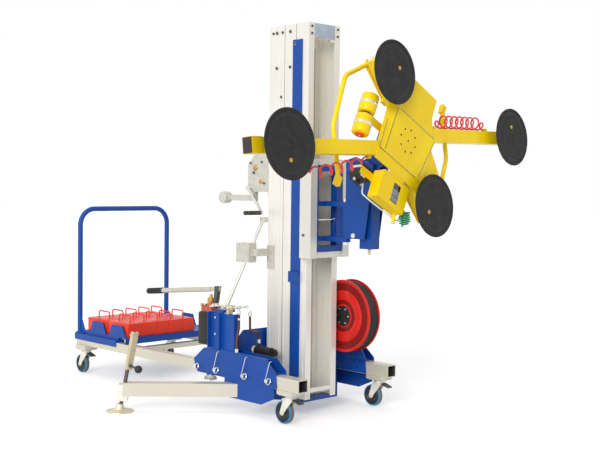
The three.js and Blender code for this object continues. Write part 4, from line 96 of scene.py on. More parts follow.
def add_camera():
    yaw, pitch, roll = (math.radians(v) for v in CAMERA_ANGLES)
    look = Vector((-math.sin(yaw) * math.cos(pitch), math.cos(yaw) * math.cos(pitch), -math.sin(pitch)))
    side = look.cross(Vector((0, 0, 1))).normalized()
    up = side.cross(look)
    right = side * math.cos(roll) + up * math.sin(roll)
    top = up * math.cos(roll) - side * math.sin(roll)
    data = bpy.data.cameras.new("camera")
    data.sensor_width = SENSOR_WIDTH
    data.lens = FOCAL_PIXELS / PHOTO_WIDTH * SENSOR_WIDTH
    data.clip_end = 60
    camera = bpy.data.objects.new("camera", data)
    bpy.context.scene.collection.objects.link(camera)
    spin = Matrix((right, top, -look)).transposed().to_4x4()
    camera.matrix_world = Matrix.Translation(SHIFT + Vector(CAMERA_PLACE)) @ spin
    bpy.context.scene.camera = camera


add_camera()


# Materials
def lin(r, g, b):
    def one(c):
        c /= 255
        return c / 12.92 if c <= 0.04045 else ((c + 0.055) / 1.055) ** 2.4
    return (one(r), one(g), one(b), 1)


class Graph:
    """Short names for building one node material."""

    def __init__(self, name):
        self.material = bpy.data.materials.new(name)
        self.material.use_nodes = True
        self.tree = self.material.node_tree
        self.shader = self.tree.nodes["Principled BSDF"]
        self.where = self.add("ShaderNodeTexCoord").outputs["Object"]

    def add(self, kind, **values):
        node = self.tree.nodes.new(kind)
        for key, value in values.items():
            setattr(node, key, value)
        return node

    def link(self, a, b):
        self.tree.links.new(a, b)

    def feed(self, node, **values):
        for key, value in values.items():
            node.inputs[key.replace("_", " ")].default_value = value

    def noise(self, scale, detail=3, rough=0.5, stretch=None):
        node = self.add("ShaderNodeTexNoise")
        self.feed(node, Scale=scale, Detail=detail, Roughness=rough)
        where = self.where
        if stretch:
            mapping = self.add("ShaderNodeMapping")
            self.feed(mapping, Scale=stretch)
            self.link(where, mapping.inputs["Vector"])
            where = mapping.outputs["Vector"]
        self.link(where, node.inputs["Vector"])
        return node.outputs["Fac"]

    def ramp(self, value, stops):
        node = self.add("ShaderNodeValToRGB")
        ramp = node.color_ramp
        while len(ramp.elements) < len(stops):
            ramp.elements.new(0.5)
        for element, (place, colour) in zip(ramp.elements, stops):
            element.position = place
            element.color = colour
        self.link(value, node.inputs["Fac"])
        return node.outputs["Color"]

    def mix(self, share, a, b):
        node = self.add("ShaderNodeMix", data_type="RGBA")
        for socket, value in ((node.inputs["Factor"], share), (node.inputs["A"], a), (node.inputs["B"], b)):
            if isinstance(value, (float, int, tuple)):
                socket.default_value = value
            else:
                self.link(value, socket)
        return node.outputs["Result"]

    def maths(self, operation, a, b=0.0):
        node = self.add("ShaderNodeMath", operation=operation)
        for socket, value in ((node.inputs[0], a), (node.inputs[1], b)):
            if isinstance(value, (float, int)):
                socket.default_value = value
            else:
                self.link(value, socket)
        return node.outputs["Value"]

    def spread(self, value, low, high):
        node = self.add("ShaderNodeMapRange")
        self.feed(node, From_Min=0.3, From_Max=0.7, To_Min=low, To_Max=high)
        self.link(value, node.inputs["Value"])
        return node.outputs["Result"]

    def bump(self, height, strength, distance, normal=None):
        node = self.add("ShaderNodeBump")
        self.feed(node, Strength=strength, Distance=distance)
        self.link(height, node.inputs["Height"])
        if normal is not None:
            self.link(normal, node.inputs["Normal"])
        return node.outputs["Normal"]

    def round_edges(self, radius):
        node = self.add("ShaderNodeBevel", samples=4)
        self.feed(node, Radius=radius)
        return node.outputs["Normal"]

    def edge_mask(self, radius):
        """Near 1 along sharp edges, 0 on flats."""
        rounded = self.round_edges(radius)
        normal = self.add("ShaderNodeNewGeometry").outputs["Normal"]
        dot = self.add("ShaderNodeVectorMath", operation="DOT_PRODUCT")
        self.link(rounded, dot.inputs[0])
        self.link(normal, dot.inputs[1])
        return self.maths("SUBTRACT", 1.0, dot.outputs["Value"])

    def colour(self, value):
        self.link(value, self.shader.inputs["Base Color"])

    def rough(self, value):
        self.link(value, self.shader.inputs["Roughness"])

    def normal(self, value):
        self.link(value, self.shader.inputs["Normal"])

    def put(self, **values):
        self.feed(self.shader, **values)


def shade(colour, factor):
    return tuple(min(1, c * factor) for c in colour[:3]) + (1,)


def paint(name, colour, worn=(0.25, 0.25, 0.25, 1), wear=0.5, rough=0.32):
    """Sprayed enamel over steel: slow colour drift, orange peel, edges rubbed thin."""
    g = Graph(name)
    body = g.mix(g.spread(g.noise(5, 4), 0.0, 1.0), shade(colour, 0.90), shade(colour, 1.08))
    chips = g.ramp(g.noise(70, 5, 0.7), [(0.55, (0, 0, 0, 1)), (0.62, (1, 1, 1, 1))])
    edge = g.ramp(g.edge_mask(0.0035), [(0.10, (0, 0, 0, 1)), (0.35, (1, 1, 1, 1))])
    share = g.maths("MULTIPLY", g.maths("MULTIPLY", chips, edge), wear)
    g.colour(g.mix(share, body, worn))
    g.rough(g.spread(g.noise(18, 4), rough - 0.05, rough + 0.10))
    g.normal(g.bump(g.noise(420, 2), 0.06, 0.0006, g.round_edges(0.0018)))
    g.put(Specular_IOR_Level=0.3, Coat_Weight=0.06, Coat_Roughness=0.2)
    return g.material


def brushed(name, colour, along, rough=0.34, metallic=0.7):
    """Drawn or brushed metal with fine lines along one axis."""
    g = Graph(name)
    stretch = {"X": (2, 260, 260), "Y": (260, 2, 260), "Z": (260, 260, 2)}[along]
    lines = g.noise(1.0, 4, 0.65, stretch)
    cloud = g.noise(3.0, 3)
    base = g.mix(g.spread(lines, 0.0, 1.0), shade(colour, 0.90), shade(colour, 1.06))
    g.colour(g.mix(g.spread(cloud, 0.0, 0.35), base, shade(colour, 0.84)))
    g.rough(g.spread(lines, rough - 0.07, rough + 0.10))
    g.normal(g.bump(lines, 0.10, 0.0004, g.round_edges(0.0010)))
    g.put(Metallic=metallic)
    return g.material


def zinc(name, colour, rough=0.38, metallic=0.65, spangle=60):
    """Plated steel with cloudy crystals."""
    g = Graph(name)
    cells = g.add("ShaderNodeTexVoronoi")
    g.feed(cells, Scale=spangle)
    g.link(g.where, cells.inputs["Vector"])
    grey = g.add("ShaderNodeRGBToBW")
    g.link(cells.outputs["Color"], grey.inputs["Color"])
    base = g.mix(g.spread(grey.outputs["Val"], 0.0, 1.0), shade(colour, 0.93), shade(colour, 1.05))
    g.colour(g.mix(g.spread(g.noise(7, 4), 0.0, 0.4), base, shade(colour, 0.82)))
    g.rough(g.spread(g.noise(30, 3), rough - 0.06, rough + 0.12))
    g.normal(g.bump(g.noise(260, 2), 0.05, 0.0004, g.round_edges(0.0010)))
    g.put(Metallic=metallic)
    return g.material


def rubber(name, colour, rough=0.72, grain=900, strength=0.25, dust=0.10):
    """Moulded rubber: fine grain and a little dust in the hollows."""
    g = Graph(name)
    pale = tuple(c + 0.10 for c in colour[:3]) + (1,)
    share = g.maths("MULTIPLY", g.spread(g.noise(14, 5, 0.6), 0.0, 1.0), dust)
    g.colour(g.mix(share, colour, pale))
    g.rough(g.spread(g.noise(25, 3), rough - 0.08, min(1.0, rough + 0.10)))
    g.normal(g.bump(g.noise(grain, 2), strength, 0.0004, g.round_edges(0.0010)))
    g.put(Specular_IOR_Level=0.35)
    return g.material


def plastic(name, colour, rough=0.4, grain=600, strength=0.08, coat=0.0):
    g = Graph(name)
    g.colour(g.mix(g.spread(g.noise(9, 3), 0.0, 1.0), shade(colour, 0.92), shade(colour, 1.06)))
    g.rough(g.spread(g.noise(20, 3), rough - 0.05, rough + 0.08))
    g.normal(g.bump(g.noise(grain, 2), strength, 0.0003, g.round_edges(0.0010)))
    g.put(Coat_Weight=coat)
    return g.material


def cast(name, colour, rough=0.55):
    """Painted casting with a coarse skin."""
    g = Graph(name)
    blotch = g.noise(24, 6, 0.65)
    g.colour(g.mix(g.spread(blotch, 0.0, 1.0), shade(colour, 0.72), shade(colour, 1.15)))
    g.rough(g.spread(g.noise(40, 3), rough - 0.1, rough + 0.15))
    g.normal(g.bump(g.noise(170, 4), 0.30, 0.0010, g.round_edges(0.0020)))
    g.put(Metallic=0.15)
    return g.material


def hose(name, colour):
    """Semi-clear coiled air hose."""
    g = Graph(name)
    g.colour(g.mix(g.spread(g.noise(30, 3), 0.0, 1.0), shade(colour, 0.85), shade(colour, 1.1)))
    g.rough(g.spread(g.noise(60, 2), 0.20, 0.34))
    g.normal(g.bump(g.noise(500, 2), 0.05, 0.0003))
    g.put(Subsurface_Weight=0.12, Subsurface_Radius=(0.01, 0.004, 0.003), Coat_Weight=0.3)
    return g.material


BLUE = paint("blue_paint", lin(10, 70, 154), wear=0.35, rough=0.38)
YELLOW = paint("yellow_paint", lin(255, 214, 2), worn=lin(150, 130, 60), wear=0.3)
# Pale yellow that stands for a painted highlight along the bent plate edges
YELLOW_HIGHLIGHT = paint("yellow_painted_highlight", lin(255, 236, 150), worn=lin(190, 170, 110), wear=0.3)
RED = paint("red_paint", lin(230, 58, 36), worn=lin(120, 50, 40), wear=0.35)
REEL_RED = paint("reel_red", lin(214, 34, 28), wear=0.15, rough=0.24)
# Darker red that stands for painted shade in the recessed rings of the reel
REEL_RECESS_SHADE = paint("reel_painted_shade", lin(128, 16, 16), wear=0.1, rough=0.35)
TANK = paint("tank_paint", lin(34, 30, 22), worn=lin(90, 88, 78), wear=0.4, rough=0.45)
MAST = brushed("mast_aluminium", lin(240, 237, 229), "Z", metallic=0.25)
RAIL = brushed("rail_aluminium", lin(226, 224, 214), "Z", metallic=0.3)
GALV_X = brushed("plated_tube_x", lin(214, 208, 192), "X", metallic=0.3)
GALV = zinc("plated_steel", lin(208, 205, 194), metallic=0.45)
DARK_STEEL = zinc("dark_steel", lin(92, 92, 90), rough=0.45, metallic=0.75)
SCREW_STEEL = zinc("screw_steel", lin(104, 94, 82), rough=0.5, metallic=0.6)
BRIGHT = zinc("bright_steel", lin(224, 223, 218), rough=0.24, metallic=0.8, spangle=20)
BEIGE = zinc("beige_zinc", lin(214, 200, 164), rough=0.42, metallic=0.35, spangle=40)
FOOT = zinc("foot_plating", lin(228, 220, 194), rough=0.34, metallic=0.45, spangle=30)
LEVER_METAL = brushed("lever_metal", lin(206, 200, 184), "X", metallic=0.4)
BRASS = zinc("brass", lin(204, 160, 88), rough=0.28, metallic=0.85, spangle=30)
CAST_RED = cast("cast_red", lin(196, 98, 82))
CYLINDER = cast("cylinder_skin", lin(44, 38, 34), rough=0.45)
CREAM = plastic("cream_cap", lin(232, 222, 176), rough=0.4)
BLACK_RUBBER = rubber("black_rubber", lin(28, 28, 29))
BROWN_HOSE = rubber("brown_hose", lin(92, 50, 34), rough=0.55, grain=1200)
PAD_RUBBER = rubber("pad_rubber", lin(33, 34, 32), rough=0.62, grain=500, strength=0.18, dust=0.05)
PAD_SKIN = rubber("pad_skin", lin(37, 38, 36), rough=0.80, grain=1400, strength=0.4, dust=0.08)
TREAD = rubber("wheel_tread", lin(112, 108, 106), rough=0.6, strength=0.2)
WHEEL_SIDE = rubber("wheel_side", lin(27, 23, 22), rough=0.6, grain=700, strength=0.15)
SHOULDER = plastic("wheel_shoulder", lin(10, 122, 172), rough=0.35, coat=0.2)
RIM = plastic("wheel_rim", lin(42, 36, 33), rough=0.42)
BLACK_PLASTIC = plastic("black_plastic", lin(24, 24, 25), rough=0.5)
ARM_CAP = plastic("arm_cap", lin(48, 40, 35), rough=0.5, grain=900, strength=0.2)
GREY_PLASTIC = plastic("grey_plastic", lin(134, 138, 138), rough=0.45)
WINDOW = plastic("dark_window", lin(40, 44, 48), rough=0.12, strength=0.01, coat=0.6)
CABLE = rubber("cable_rubber", lin(34, 32, 32), rough=0.5, grain=700)
CORD_WHITE = rubber("white_cord", lin(236, 236, 232), rough=0.6, grain=2200, strength=0.5)
WHITE_TUBE = plastic("white_tube", lin(232, 234, 232), rough=0.3, coat=0.2)
RED_HOSE = hose("red_hose", lin(222, 40, 44))
GREEN_HOSE = hose("green_hose", lin(20, 150, 92))
GREEN_CAP = plastic("green_cap", lin(24, 120, 70), rough=0.35)
ORANGE = plastic("orange_knob", lin(230, 84, 34), rough=0.35)
WHITE_ZINC = zinc("white_zinc", lin(236, 232, 220), rough=0.4, metallic=0.3, spangle=30)
# Dark grey that stands for painted shade inside tubes and in the gaps between mast stages
INSIDE_SHADE = zinc("painted_shade_inside", lin(62, 66, 62), rough=0.6, metallic=0.3)
SHEAVE = zinc("sheave_plating", lin(196, 206, 176), rough=0.35, metallic=0.5)
TOP_BLUE = zinc("mast_top_steel", lin(176, 190, 206), rough=0.4, metallic=0.3, spangle=30)


# Mesh makers. Each takes millimetres in its matrix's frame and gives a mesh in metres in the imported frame
def new_object(name, mesh):
    obj = bpy.data.objects.new(name, mesh)
    bpy.context.scene.collection.objects.link(obj)
    return obj


def smooth(mesh, degrees=32):
    """Smooth faces, with edges over the angle left sharp."""
    for polygon in mesh.polygons:
        polygon.use_smooth = True
    mesh.set_sharp_from_angle(angle=math.radians(degrees))


def from_data(name, verts, faces, matrix, material, degrees=32):
    mesh = bpy.data.meshes.new(name)
    mesh.from_pydata([tuple(matrix @ (Vector(v) * MM)) for v in verts], [], faces)
    mesh.validate()
    edit = bmesh.new()
    edit.from_mesh(mesh)
    bmesh.ops.recalc_face_normals(edit, faces=edit.faces)
    edit.to_mesh(mesh)
    edit.free()
    mesh.materials.append(material)
    smooth(mesh, degrees)
    return new_object(name, mesh)


def lathe(name, profile, matrix, material, sides=64, axis="Z", degrees=32):
    """Closed solid turned about an axis from (radius, height) points; ends on the axis are closed."""
    verts, rings, faces = [], [], []
    for radius, height in profile:
        if radius < 1e-6:
            rings.append([len(verts)])
            verts.append((0, 0, height))
            continue
        ring = []
        for side in range(sides):
            angle = side / sides * math.tau
            ring.append(len(verts))
            verts.append((radius * math.cos(angle), radius * math.sin(angle), height))
        rings.append(ring)
    closed = profile[0][0] > 1e-6 and profile[-1][0] > 1e-6
    pairs = list(zip(rings, rings[1:])) + ([(rings[-1], rings[0])] if closed else [])
    for a, b in pairs:
        for side in range(sides):
            after = (side + 1) % sides
            face = [a[side % len(a)], a[after % len(a)], b[after % len(b)], b[side % len(b)]]
            face = list(dict.fromkeys(face))
            if len(face) > 2:
                faces.append(face)
    spin = {"X": turn("Y", 90), "Y": turn("X", -90), "Z": Matrix.Identity(4)}[axis]
    return from_data(name, verts, faces, matrix @ spin, material, degrees)


def round_corner(points, radius, steps):
    """Points of a bent route with each corner rounded."""
    corners = [Vector(p) for p in points]
    route = [corners[0]]
    for before, corner, after in zip(corners, corners[1:], corners[2:]):
        back = (before - corner).normalized()
        ahead = (after - corner).normalized()
        half = back.angle(ahead) / 2
        start = corner + back * (radius / math.tan(half))
        centre = corner + (back + ahead).normalized() * (radius / math.sin(half))
        axis = back.cross(ahead).normalized()
        sweep = math.pi - 2 * half
        for step in range(steps + 1):
            route.append(centre + Matrix.Rotation(-sweep * step / steps, 3, axis) @ (start - centre))
    route.append(corners[-1])
    return route


def tube(name, route, diameter, matrix, material, sides):
    """Solid bar swept along a route without twisting."""
    route = [Vector(p) for p in route]
    count = len(route)
    verts, faces = [], []
    across = None
    for i, point in enumerate(route):
        along = (route[min(i + 1, count - 1)] - route[max(i - 1, 0)]).normalized()
        if across is None:
            across = along.cross(Vector((0, 0, 1)))
            if across.length < 0.1:
                across = along.cross(Vector((1, 0, 0)))
        across = (across - along * across.dot(along)).normalized()
        other = along.cross(across)
        for side in range(sides):
            angle = side / sides * math.tau
            verts.append(point + (across * math.cos(angle) + other * math.sin(angle)) * diameter / 2)
    for i in range(count - 1):
        for side in range(sides):
            after = (side + 1) % sides
            a, b = i * sides, (i + 1) * sides
            faces.append([a + side, a + after, b + after, b + side])
    faces.append(list(range(sides)))
    faces.append(list(range((count - 1) * sides, count * sides)))
    return from_data(name, verts, faces, matrix, material, 50)


def pointed(a, b, matrix):
    """Frame at one point with its Z towards another, and the length between them."""
    a, b = Vector(a), Vector(b)
    spin = (b - a).to_track_quat("Z", "Y").to_matrix().to_4x4()
    return matrix @ Matrix.Translation(a * MM) @ spin, (b - a).length


def rod(name, a, b, diameter, matrix, material, edge=1.0, sides=32):
    """Round bar between two points with broken edges."""
    place, length = pointed(a, b, matrix)
    r = diameter / 2
    edge = min(edge, length / 3, r / 2)
    profile = [(0, 0), (r - edge, 0), (r, edge), (r, length - edge), (r - edge, length), (0, length)]
    return lathe(name, profile, place, material, sides)


def hexagon(name, a, b, across, matrix, material):
    """Hexagon bolt head between two points, chamfered on its outer end."""
    place, length = pointed(a, b, matrix)
    r = across / 2 / math.cos(math.pi / 6)
    profile = [(0, 0), (r, 0), (r, length * 0.8), (r * 0.86, length), (0, length)]
    return lathe(name, profile, place, material, 6, degrees=20)


def rounded(name, edit, edge, segments, matrix, material):
    """Object of a solid drawn in millimetres, with its edges rounded."""
    bmesh.ops.bevel(edit, geom=edit.edges[:], offset=edge, segments=segments, profile=0.5, affect="EDGES")
    for vert in edit.verts:
        vert.co = matrix @ (vert.co * MM)
    mesh = bpy.data.meshes.new(name)
    edit.to_mesh(mesh)
    edit.free()
    mesh.materials.append(material)
    smooth(mesh, 40)
    return new_object(name, mesh)


def slab(name, low, high, matrix, material, edge=1.5):
    """Box with rounded edges."""
    edit = bmesh.new()
    bmesh.ops.create_cube(edit, size=1)
    low, high = Vector(low), Vector(high)
    for vert in edit.verts:
        vert.co = Vector([low[k] + (high[k] - low[k]) * (vert.co[k] + 0.5) for k in range(3)])
    bmesh.ops.recalc_face_normals(edit, faces=edit.faces)
    return rounded(name, edit, min(edge, min(high - low) / 3), 3, matrix, material)


def plate(name, outline, start, end, axis, matrix, material, edge=1.0):
    """Flat plate: the outline's two coordinates are the axes left over, in X, Y, Z order."""
    k = "XYZ".index(axis)

    def place(point, depth):
        out = list(point)
        out.insert(k, depth)
        return Vector(out)

    edit = bmesh.new()
    verts = [edit.verts.new(place(p, start)) for p in outline]
    face = edit.faces.new(verts)
    grown = bmesh.ops.extrude_face_region(edit, geom=[face])
    step = place((0, 0), end - start)
    for item in grown["geom"]:
        if isinstance(item, bmesh.types.BMVert):
            item.co += step
    bmesh.ops.recalc_face_normals(edit, faces=edit.faces)
    return rounded(name, edit, min(edge, abs(end - start) / 3), 2, matrix, material)


def dress(obj, body):
    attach(obj, body)
    return obj


def steel(obj, body="chassis"):
    return dress(obj, body)


CREASE_DEGREES = 46
NARROW_FACE = 0.040
ONE_PLANE = 0.9998


def crease(mesh):
    """Smooth shading across narrow faces that turn a little; wide flat panels stay flat."""
    edit = bmesh.new()
    edit.from_mesh(mesh)
    edit.faces.ensure_lookup_table()
    owner = list(range(len(edit.faces)))

    def root(i):
        while owner[i] != i:
            owner[i] = owner[owner[i]]
            i = owner[i]
        return i

    pairs = [(edge, *edge.link_faces) for edge in edit.edges if len(edge.link_faces) == 2]
    for _, a, b in pairs:
        if a.normal.dot(b.normal) > ONE_PLANE:
            owner[root(a.index)] = root(b.index)
    panels = {}
    for face in edit.faces:
        panels.setdefault(root(face.index), []).append(face)
    width = {}
    for key, faces in panels.items():
        spots = [vert.co for face in faces for vert in face.verts]
        spans = [max(spot[k] for spot in spots) - min(spot[k] for spot in spots) for k in range(3)]
        reach = Vector(spans).length
        width[key] = sum(face.calc_area() for face in faces) / max(reach, 1e-6)
        for face in faces:
            face.smooth = True
    limit = math.cos(math.radians(CREASE_DEGREES))
    for edge, a, b in pairs:
        i, j = root(a.index), root(b.index)
        edge.smooth = i == j or (a.normal.dot(b.normal) > limit and max(width[i], width[j]) < NARROW_FACE)
    edit.to_mesh(mesh)
    edit.free()


def clone(node, name, body, rules, other):
    """Smooth-shaded copy of a CAD solid that stands for it. Faces whose centre lies in a
    box of a frame take that box's material."""
    mesh = NODES[node].data.copy()
    mesh.name = name
    mesh.materials.clear()
    mesh.materials.append(other)
    index = {}
    boxes = []
    for low, high, material, *place in rules:
        if material.name not in index:
            mesh.materials.append(material)
            index[material.name] = len(mesh.materials) - 1
        boxes.append((low, high, index[material.name], (place[0] if place else BASE).inverted()))
    edit = bmesh.new()
    edit.from_mesh(mesh)
    bmesh.ops.remove_doubles(edit, verts=edit.verts, dist=2e-6)
    edit.to_mesh(mesh)
    edit.free()
    for polygon in mesh.polygons:
        polygon.material_index = 0
        for low, high, number, back in boxes:
            centre = back @ polygon.center / MM
            if all(low[k] <= centre[k] <= high[k] for k in range(3)):
                polygon.material_index = number
    crease(mesh)
    obj = new_object(name, mesh)
    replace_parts(obj, node)
    return dress(obj, body)


def cover(node, material):
    """New finish on a CAD solid that stays."""
    data = NODES[node].data
    data.materials.clear()
    data.materials.append(material)


# Far enough to reach past the part, in the boxes of clone
EVERY = 1e6


# Casters
def build_casters():
    front_x, rear_x, trail, axle_z = 45, -1969, 45, 62.5
    mount_z, mount_plate, race_gap, crown, race_seat = 165, 5, 0.3, 16, 5
    hub_half, hub_gap, fork_wall, axle_stub = 18.5, 0.4, 4, 6
    for place, x, y in (("front_near", front_x, -HALF_TRACK), ("front_far", front_x, HALF_TRACK),
                        ("rear_near", rear_x, -HALF_TRACK), ("rear_far", rear_x, HALF_TRACK)):
        fork, wheel = "fork_" + place, "wheel_" + place
        axle = BASE @ move(x - trail, y, axle_z)
        tread = [
            (50, -12.5), (60.6, -12.5), (61.6, -11.6), (62.5, -5),
            (62.5, 5), (61.6, 11.6), (60.6, 12.5), (50, 12.5),
        ]
        tyre = lathe("tread_" + place, tread, axle, TREAD, 72, "Y")
        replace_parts(dress(tyre, wheel), "caster_wheel_" + place)
        for side in (-1, 1):
            tag = f"{place}_{'far' if side > 0 else 'near'}"
            band = [(53, 10), (61.0, 10), (61.2, 12.6), (59.4, 15.2), (56.2, 16.4), (53.4, 16.2)]
            wall = [(44.5, 6), (53.2, 6), (53.2, 16.1), (51.5, 16.6), (46.5, 15.8), (44.5, 14)]
            for piece, profile, material in (("shoulder", band, SHOULDER), ("sidewall", wall, WHEEL_SIDE)):
                points = [(r, h * side) for r, h in profile]
                dress(lathe(f"{piece}_{tag}", points, axle, material, 72, "Y"), wheel)
            cap = [(0, 0), (12.5, 0), (12.5, 1.2), (10, 1.5), (0, 1.5)]
            at = axle @ (move(0, 17.4, 0) if side > 0 else move(0, -17.4, 0) @ turn("X", 180))
            dress(lathe("bearing_cap_" + tag, cap, at, BRIGHT, 32, "Y"), wheel)
        rim = [
            (6.6, -18.5), (14, -18.5), (16.5, -16), (19, -9.5), (34, -8), (38, -12), (41, -15.5), (44.6, -14),
            (44.6, 14), (41, 15.5), (38, 12), (34, 8), (19, 9.5), (16.5, 16), (14, 18.5), (6.6, 18.5),
        ]
        dress(lathe("rim_" + place, rim, axle, RIM, 72, "Y"), wheel)
        crown_top = mount_z - mount_plate - race_gap - crown
        here = BASE @ move(x, y, 0)
        clone(f"caster_fork_{place}", f"fork_body_{place}", fork, [
            ((x + 33.5, y - EVERY, 0), (x + 200, y + EVERY, EVERY), DARK_STEEL),
        ], WHITE_ZINC)
        race = [(24, 0), (31.4, 0), (32.4, 1.5), (32.4, 5.5), (31.4, 7), (24, 7)]
        steel(lathe("race_" + place, race, here @ move(0, 0, crown_top + race_seat), BRIGHT, 48), fork)
        for side in (-1, 1):
            face = side * (hub_half + hub_gap + fork_wall + axle_stub)
            a, b = (-trail, face - side * 0.5, axle_z), (-trail, face + side * 3, axle_z)
            steel(rod(f"axle_end_{place}_{'far' if side > 0 else 'near'}", a, b, 11, here, BRIGHT), fork)


# Suction pads
def build_pads():
    long_reach, short_reach = 956, 367
    # Each fitting's place on its pad, to the right and up as the photograph shows it
    fittings = {"left": (0, -75), "right": (0, 60), "top": (42, 25), "bottom": (-52, -33)}
    for name, arm in ARMS.items():
        body = "arm_" + name
        at = arm @ move(0, long_reach if name in ("left", "right") else short_reach, 0)
        skin = [
            (0, -7.5), (19, -7.5), (20, -6.2), (30, -6.0), (31, -6.8), (60, -6.6), (61, -5.8), (62, -6.6),
            (95, -6.4), (96, -5.6), (97, -6.4), (128, -6.1), (129, -5.3), (130, -6.1), (150, -5.8),
            (155.5, -4.4), (158, -0.6), (161, 0), (166.5, 0), (168.3, -1.4), (168.5, -3.4), (167.6, -6.4),
            (163, -8.6), (158, -9.4), (120, -18.8), (66, -31.4), (0, -31.4),
        ]
        pad = lathe("pad_" + name, skin, at, PAD_SKIN, 96, "X")
        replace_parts(dress(pad, body), "suction_pad_" + name)
        disc = [
            (0, -7.2), (14, -7.2), (15.5, -5.2), (16.6, -5.2),
            (18, -7.2), (126, -7.0), (127, -5.2), (146, -5.0),
            (147.5, -5.6), (147.5, -7.4), (0, -7.9),
        ]
        stem = [(0, -31), (22, -31), (22, -60.4), (0, -60.4)]
        boss = [(0, -31), (58, -31), (60, -33), (60, -36), (57, -38), (24, -40), (0, -40)]
        for piece, profile, material, sides in (
            ("plate", disc, PAD_RUBBER, 96), ("stem", stem, DARK_STEEL, 48), ("boss", boss, YELLOW, 64),
        ):
            dress(lathe(f"pad_{piece}_{name}", profile, at, material, sides, "X"), body)
        spot = at.to_3x3().inverted() @ Vector((0, *fittings[name]))
        hole = at @ move(0, spot.y, spot.z)
        nipple = [(0, -7), (11, -7), (11, -3.4), (9.8, -2.4), (5, -2.4), (4.4, -4.6), (0, -4.6)]
        dress(lathe("pad_nipple_" + name, nipple, hole, BRASS, 24, "X"), body)


# Ballast weights
def build_weights():
    length, width, height = 230, 105.5, 88
    front_x, near_y, row_pitch, pitch = -1475, -360, 240, 107
    grip_ends, grip_top, grip_wire = (54, 176), 134, 9
    for row in range(2):
        for number in range(5):
            name = f"weight_{('front', 'rear')[row]}_{number + 1}"
            x = front_x - length - row * row_pitch
            y = near_y + width / 2 + number * pitch
            at = BASE @ move(x, y, 0)
            at.translation.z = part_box(name)[0].z
            block = slab("block_" + name, (0, -width / 2, 0), (length, width / 2, height), at, RED, 2.5)
            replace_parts(dress(block, name), name)
            (a, b), foot = grip_ends, height - 2
            route = round_corner([(a, 0, foot), (a, 0, grip_top), (b, 0, grip_top), (b, 0, foot)], 14, 8)
            dress(tube("grip_" + name, route, grip_wire, at, RED, 14), name)
            for end in grip_ends:
                weld_ring = [(4, 0), (7.6, 0), (6.8, 1.6), (5.2, 3.0), (4, 3.4)]
                dress(lathe(f"grip_weld_{name}_{end}", weld_ring, at @ move(end, 0, 87.8), RED, 18),
                      name)


# Ballast platform and push handle
def build_platform():
    cover("ballast_platform", BLUE)
    foot, x, half, top, bend, diameter, plate_front = 270.3, -2042, 362, 1110, 110, 34, -1968.5
    corners = [(x, -half, foot), (x, -half, top), (x, half, top), (x, half, foot)]
    hoop = tube("push_handle_tube", round_corner(corners, bend, 14), diameter, BASE, BLUE, 28)
    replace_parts(dress(hoop, "chassis"), "push_handle")
    for side in (-1, 1):
        y = side * half
        tag = "far" if side > 0 else "near"
        low, high = (x - diameter / 2, y - 23, foot), (plate_front, y + 23, foot + 6)
        dress(slab("handle_foot_" + tag, low, high, BASE, BLUE, 1.5), "chassis")
        front = plate_front - 0.1
        gusset = [(x, foot + 1), (front, foot + 1), (front, foot + 6), (x + 17, foot + 112), (x, foot + 112)]
        dress(plate("handle_gusset_" + tag, gusset, y - 3, y + 3, "Y", BASE, BLUE), "chassis")
        ring = [(17, 0), (22, 0), (19.5, 2.6), (17, 5.4)]
        weld_at = BASE @ move(x, y, foot + 6)
        dress(lathe("handle_weld_" + tag, ring, weld_at, BLUE, 36), "chassis")


# Outrigger, jack and its crank
def build_jack():
    clone("outrigger_arm", "outrigger_tube", "outrigger", [
        ((-675, -45, 60), (-590, 45, 170), WHITE_ZINC, OUT),
    ], GALV_X)
    rim = [
        (0, 0.4), (73, 0.4), (77, 1.6), (79, 4.2), (78, 7.6),
        (74, 9), (52, 11.4), (33, 18), (25, 29), (21.6, 39),
        (20, 44), (17, 46), (0, 46),
    ]
    foot_at = OUT @ move(JACK_REACH, 0, 0)
    foot = lathe("jack_foot", rim, foot_at, FOOT, 72)
    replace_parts(dress(foot, "jack"), "jack_spindle")
    crest, root, pitch, top = 11.9, 10.6, 4, 396
    turns = [(0, 10), (11.8, 10)]
    for height in range(12, top - 2, pitch):
        turns += [(crest, height), (root, height + pitch / 2)]
    turns += [(crest, top), (0, top)]
    steel(lathe("jack_screw", turns, JACK, SCREW_STEEL, 32, degrees=80), "jack")
    steel(slab("jack_eye", (-9, -7, 394), (9, 7, 452), CRANK, BRIGHT, 3), "jack")
    clone("jack_crank", "crank_bar", "jack_handle", [], BEIGE)
    # A hair larger than the solid's ball, so that its facets don't show through
    radius, grown, rings = 22, 1.004, 20
    angles = [a / rings * math.pi for a in range(rings + 1)]
    ball = [(radius * math.sin(a), -radius * math.cos(a)) for a in angles]
    ball[0], ball[-1] = (0, -radius), (0, radius)
    ball = [(r * grown, h * grown) for r, h in ball]
    dress(lathe("crank_knob", ball, CRANK @ move(100, 0, 270), BLACK_PLASTIC, 40, "X"),
          "jack_handle")
    stem = [(5.1, 0), (9.5, 0), (9.5, 6), (6.2, 8), (6.2, 56), (9, 60), (5.1, 60)]
    dress(lathe("crank_stem", stem, CRANK @ move(20, 0, 270), DARK_STEEL, 24, "X"),
          "jack_handle")


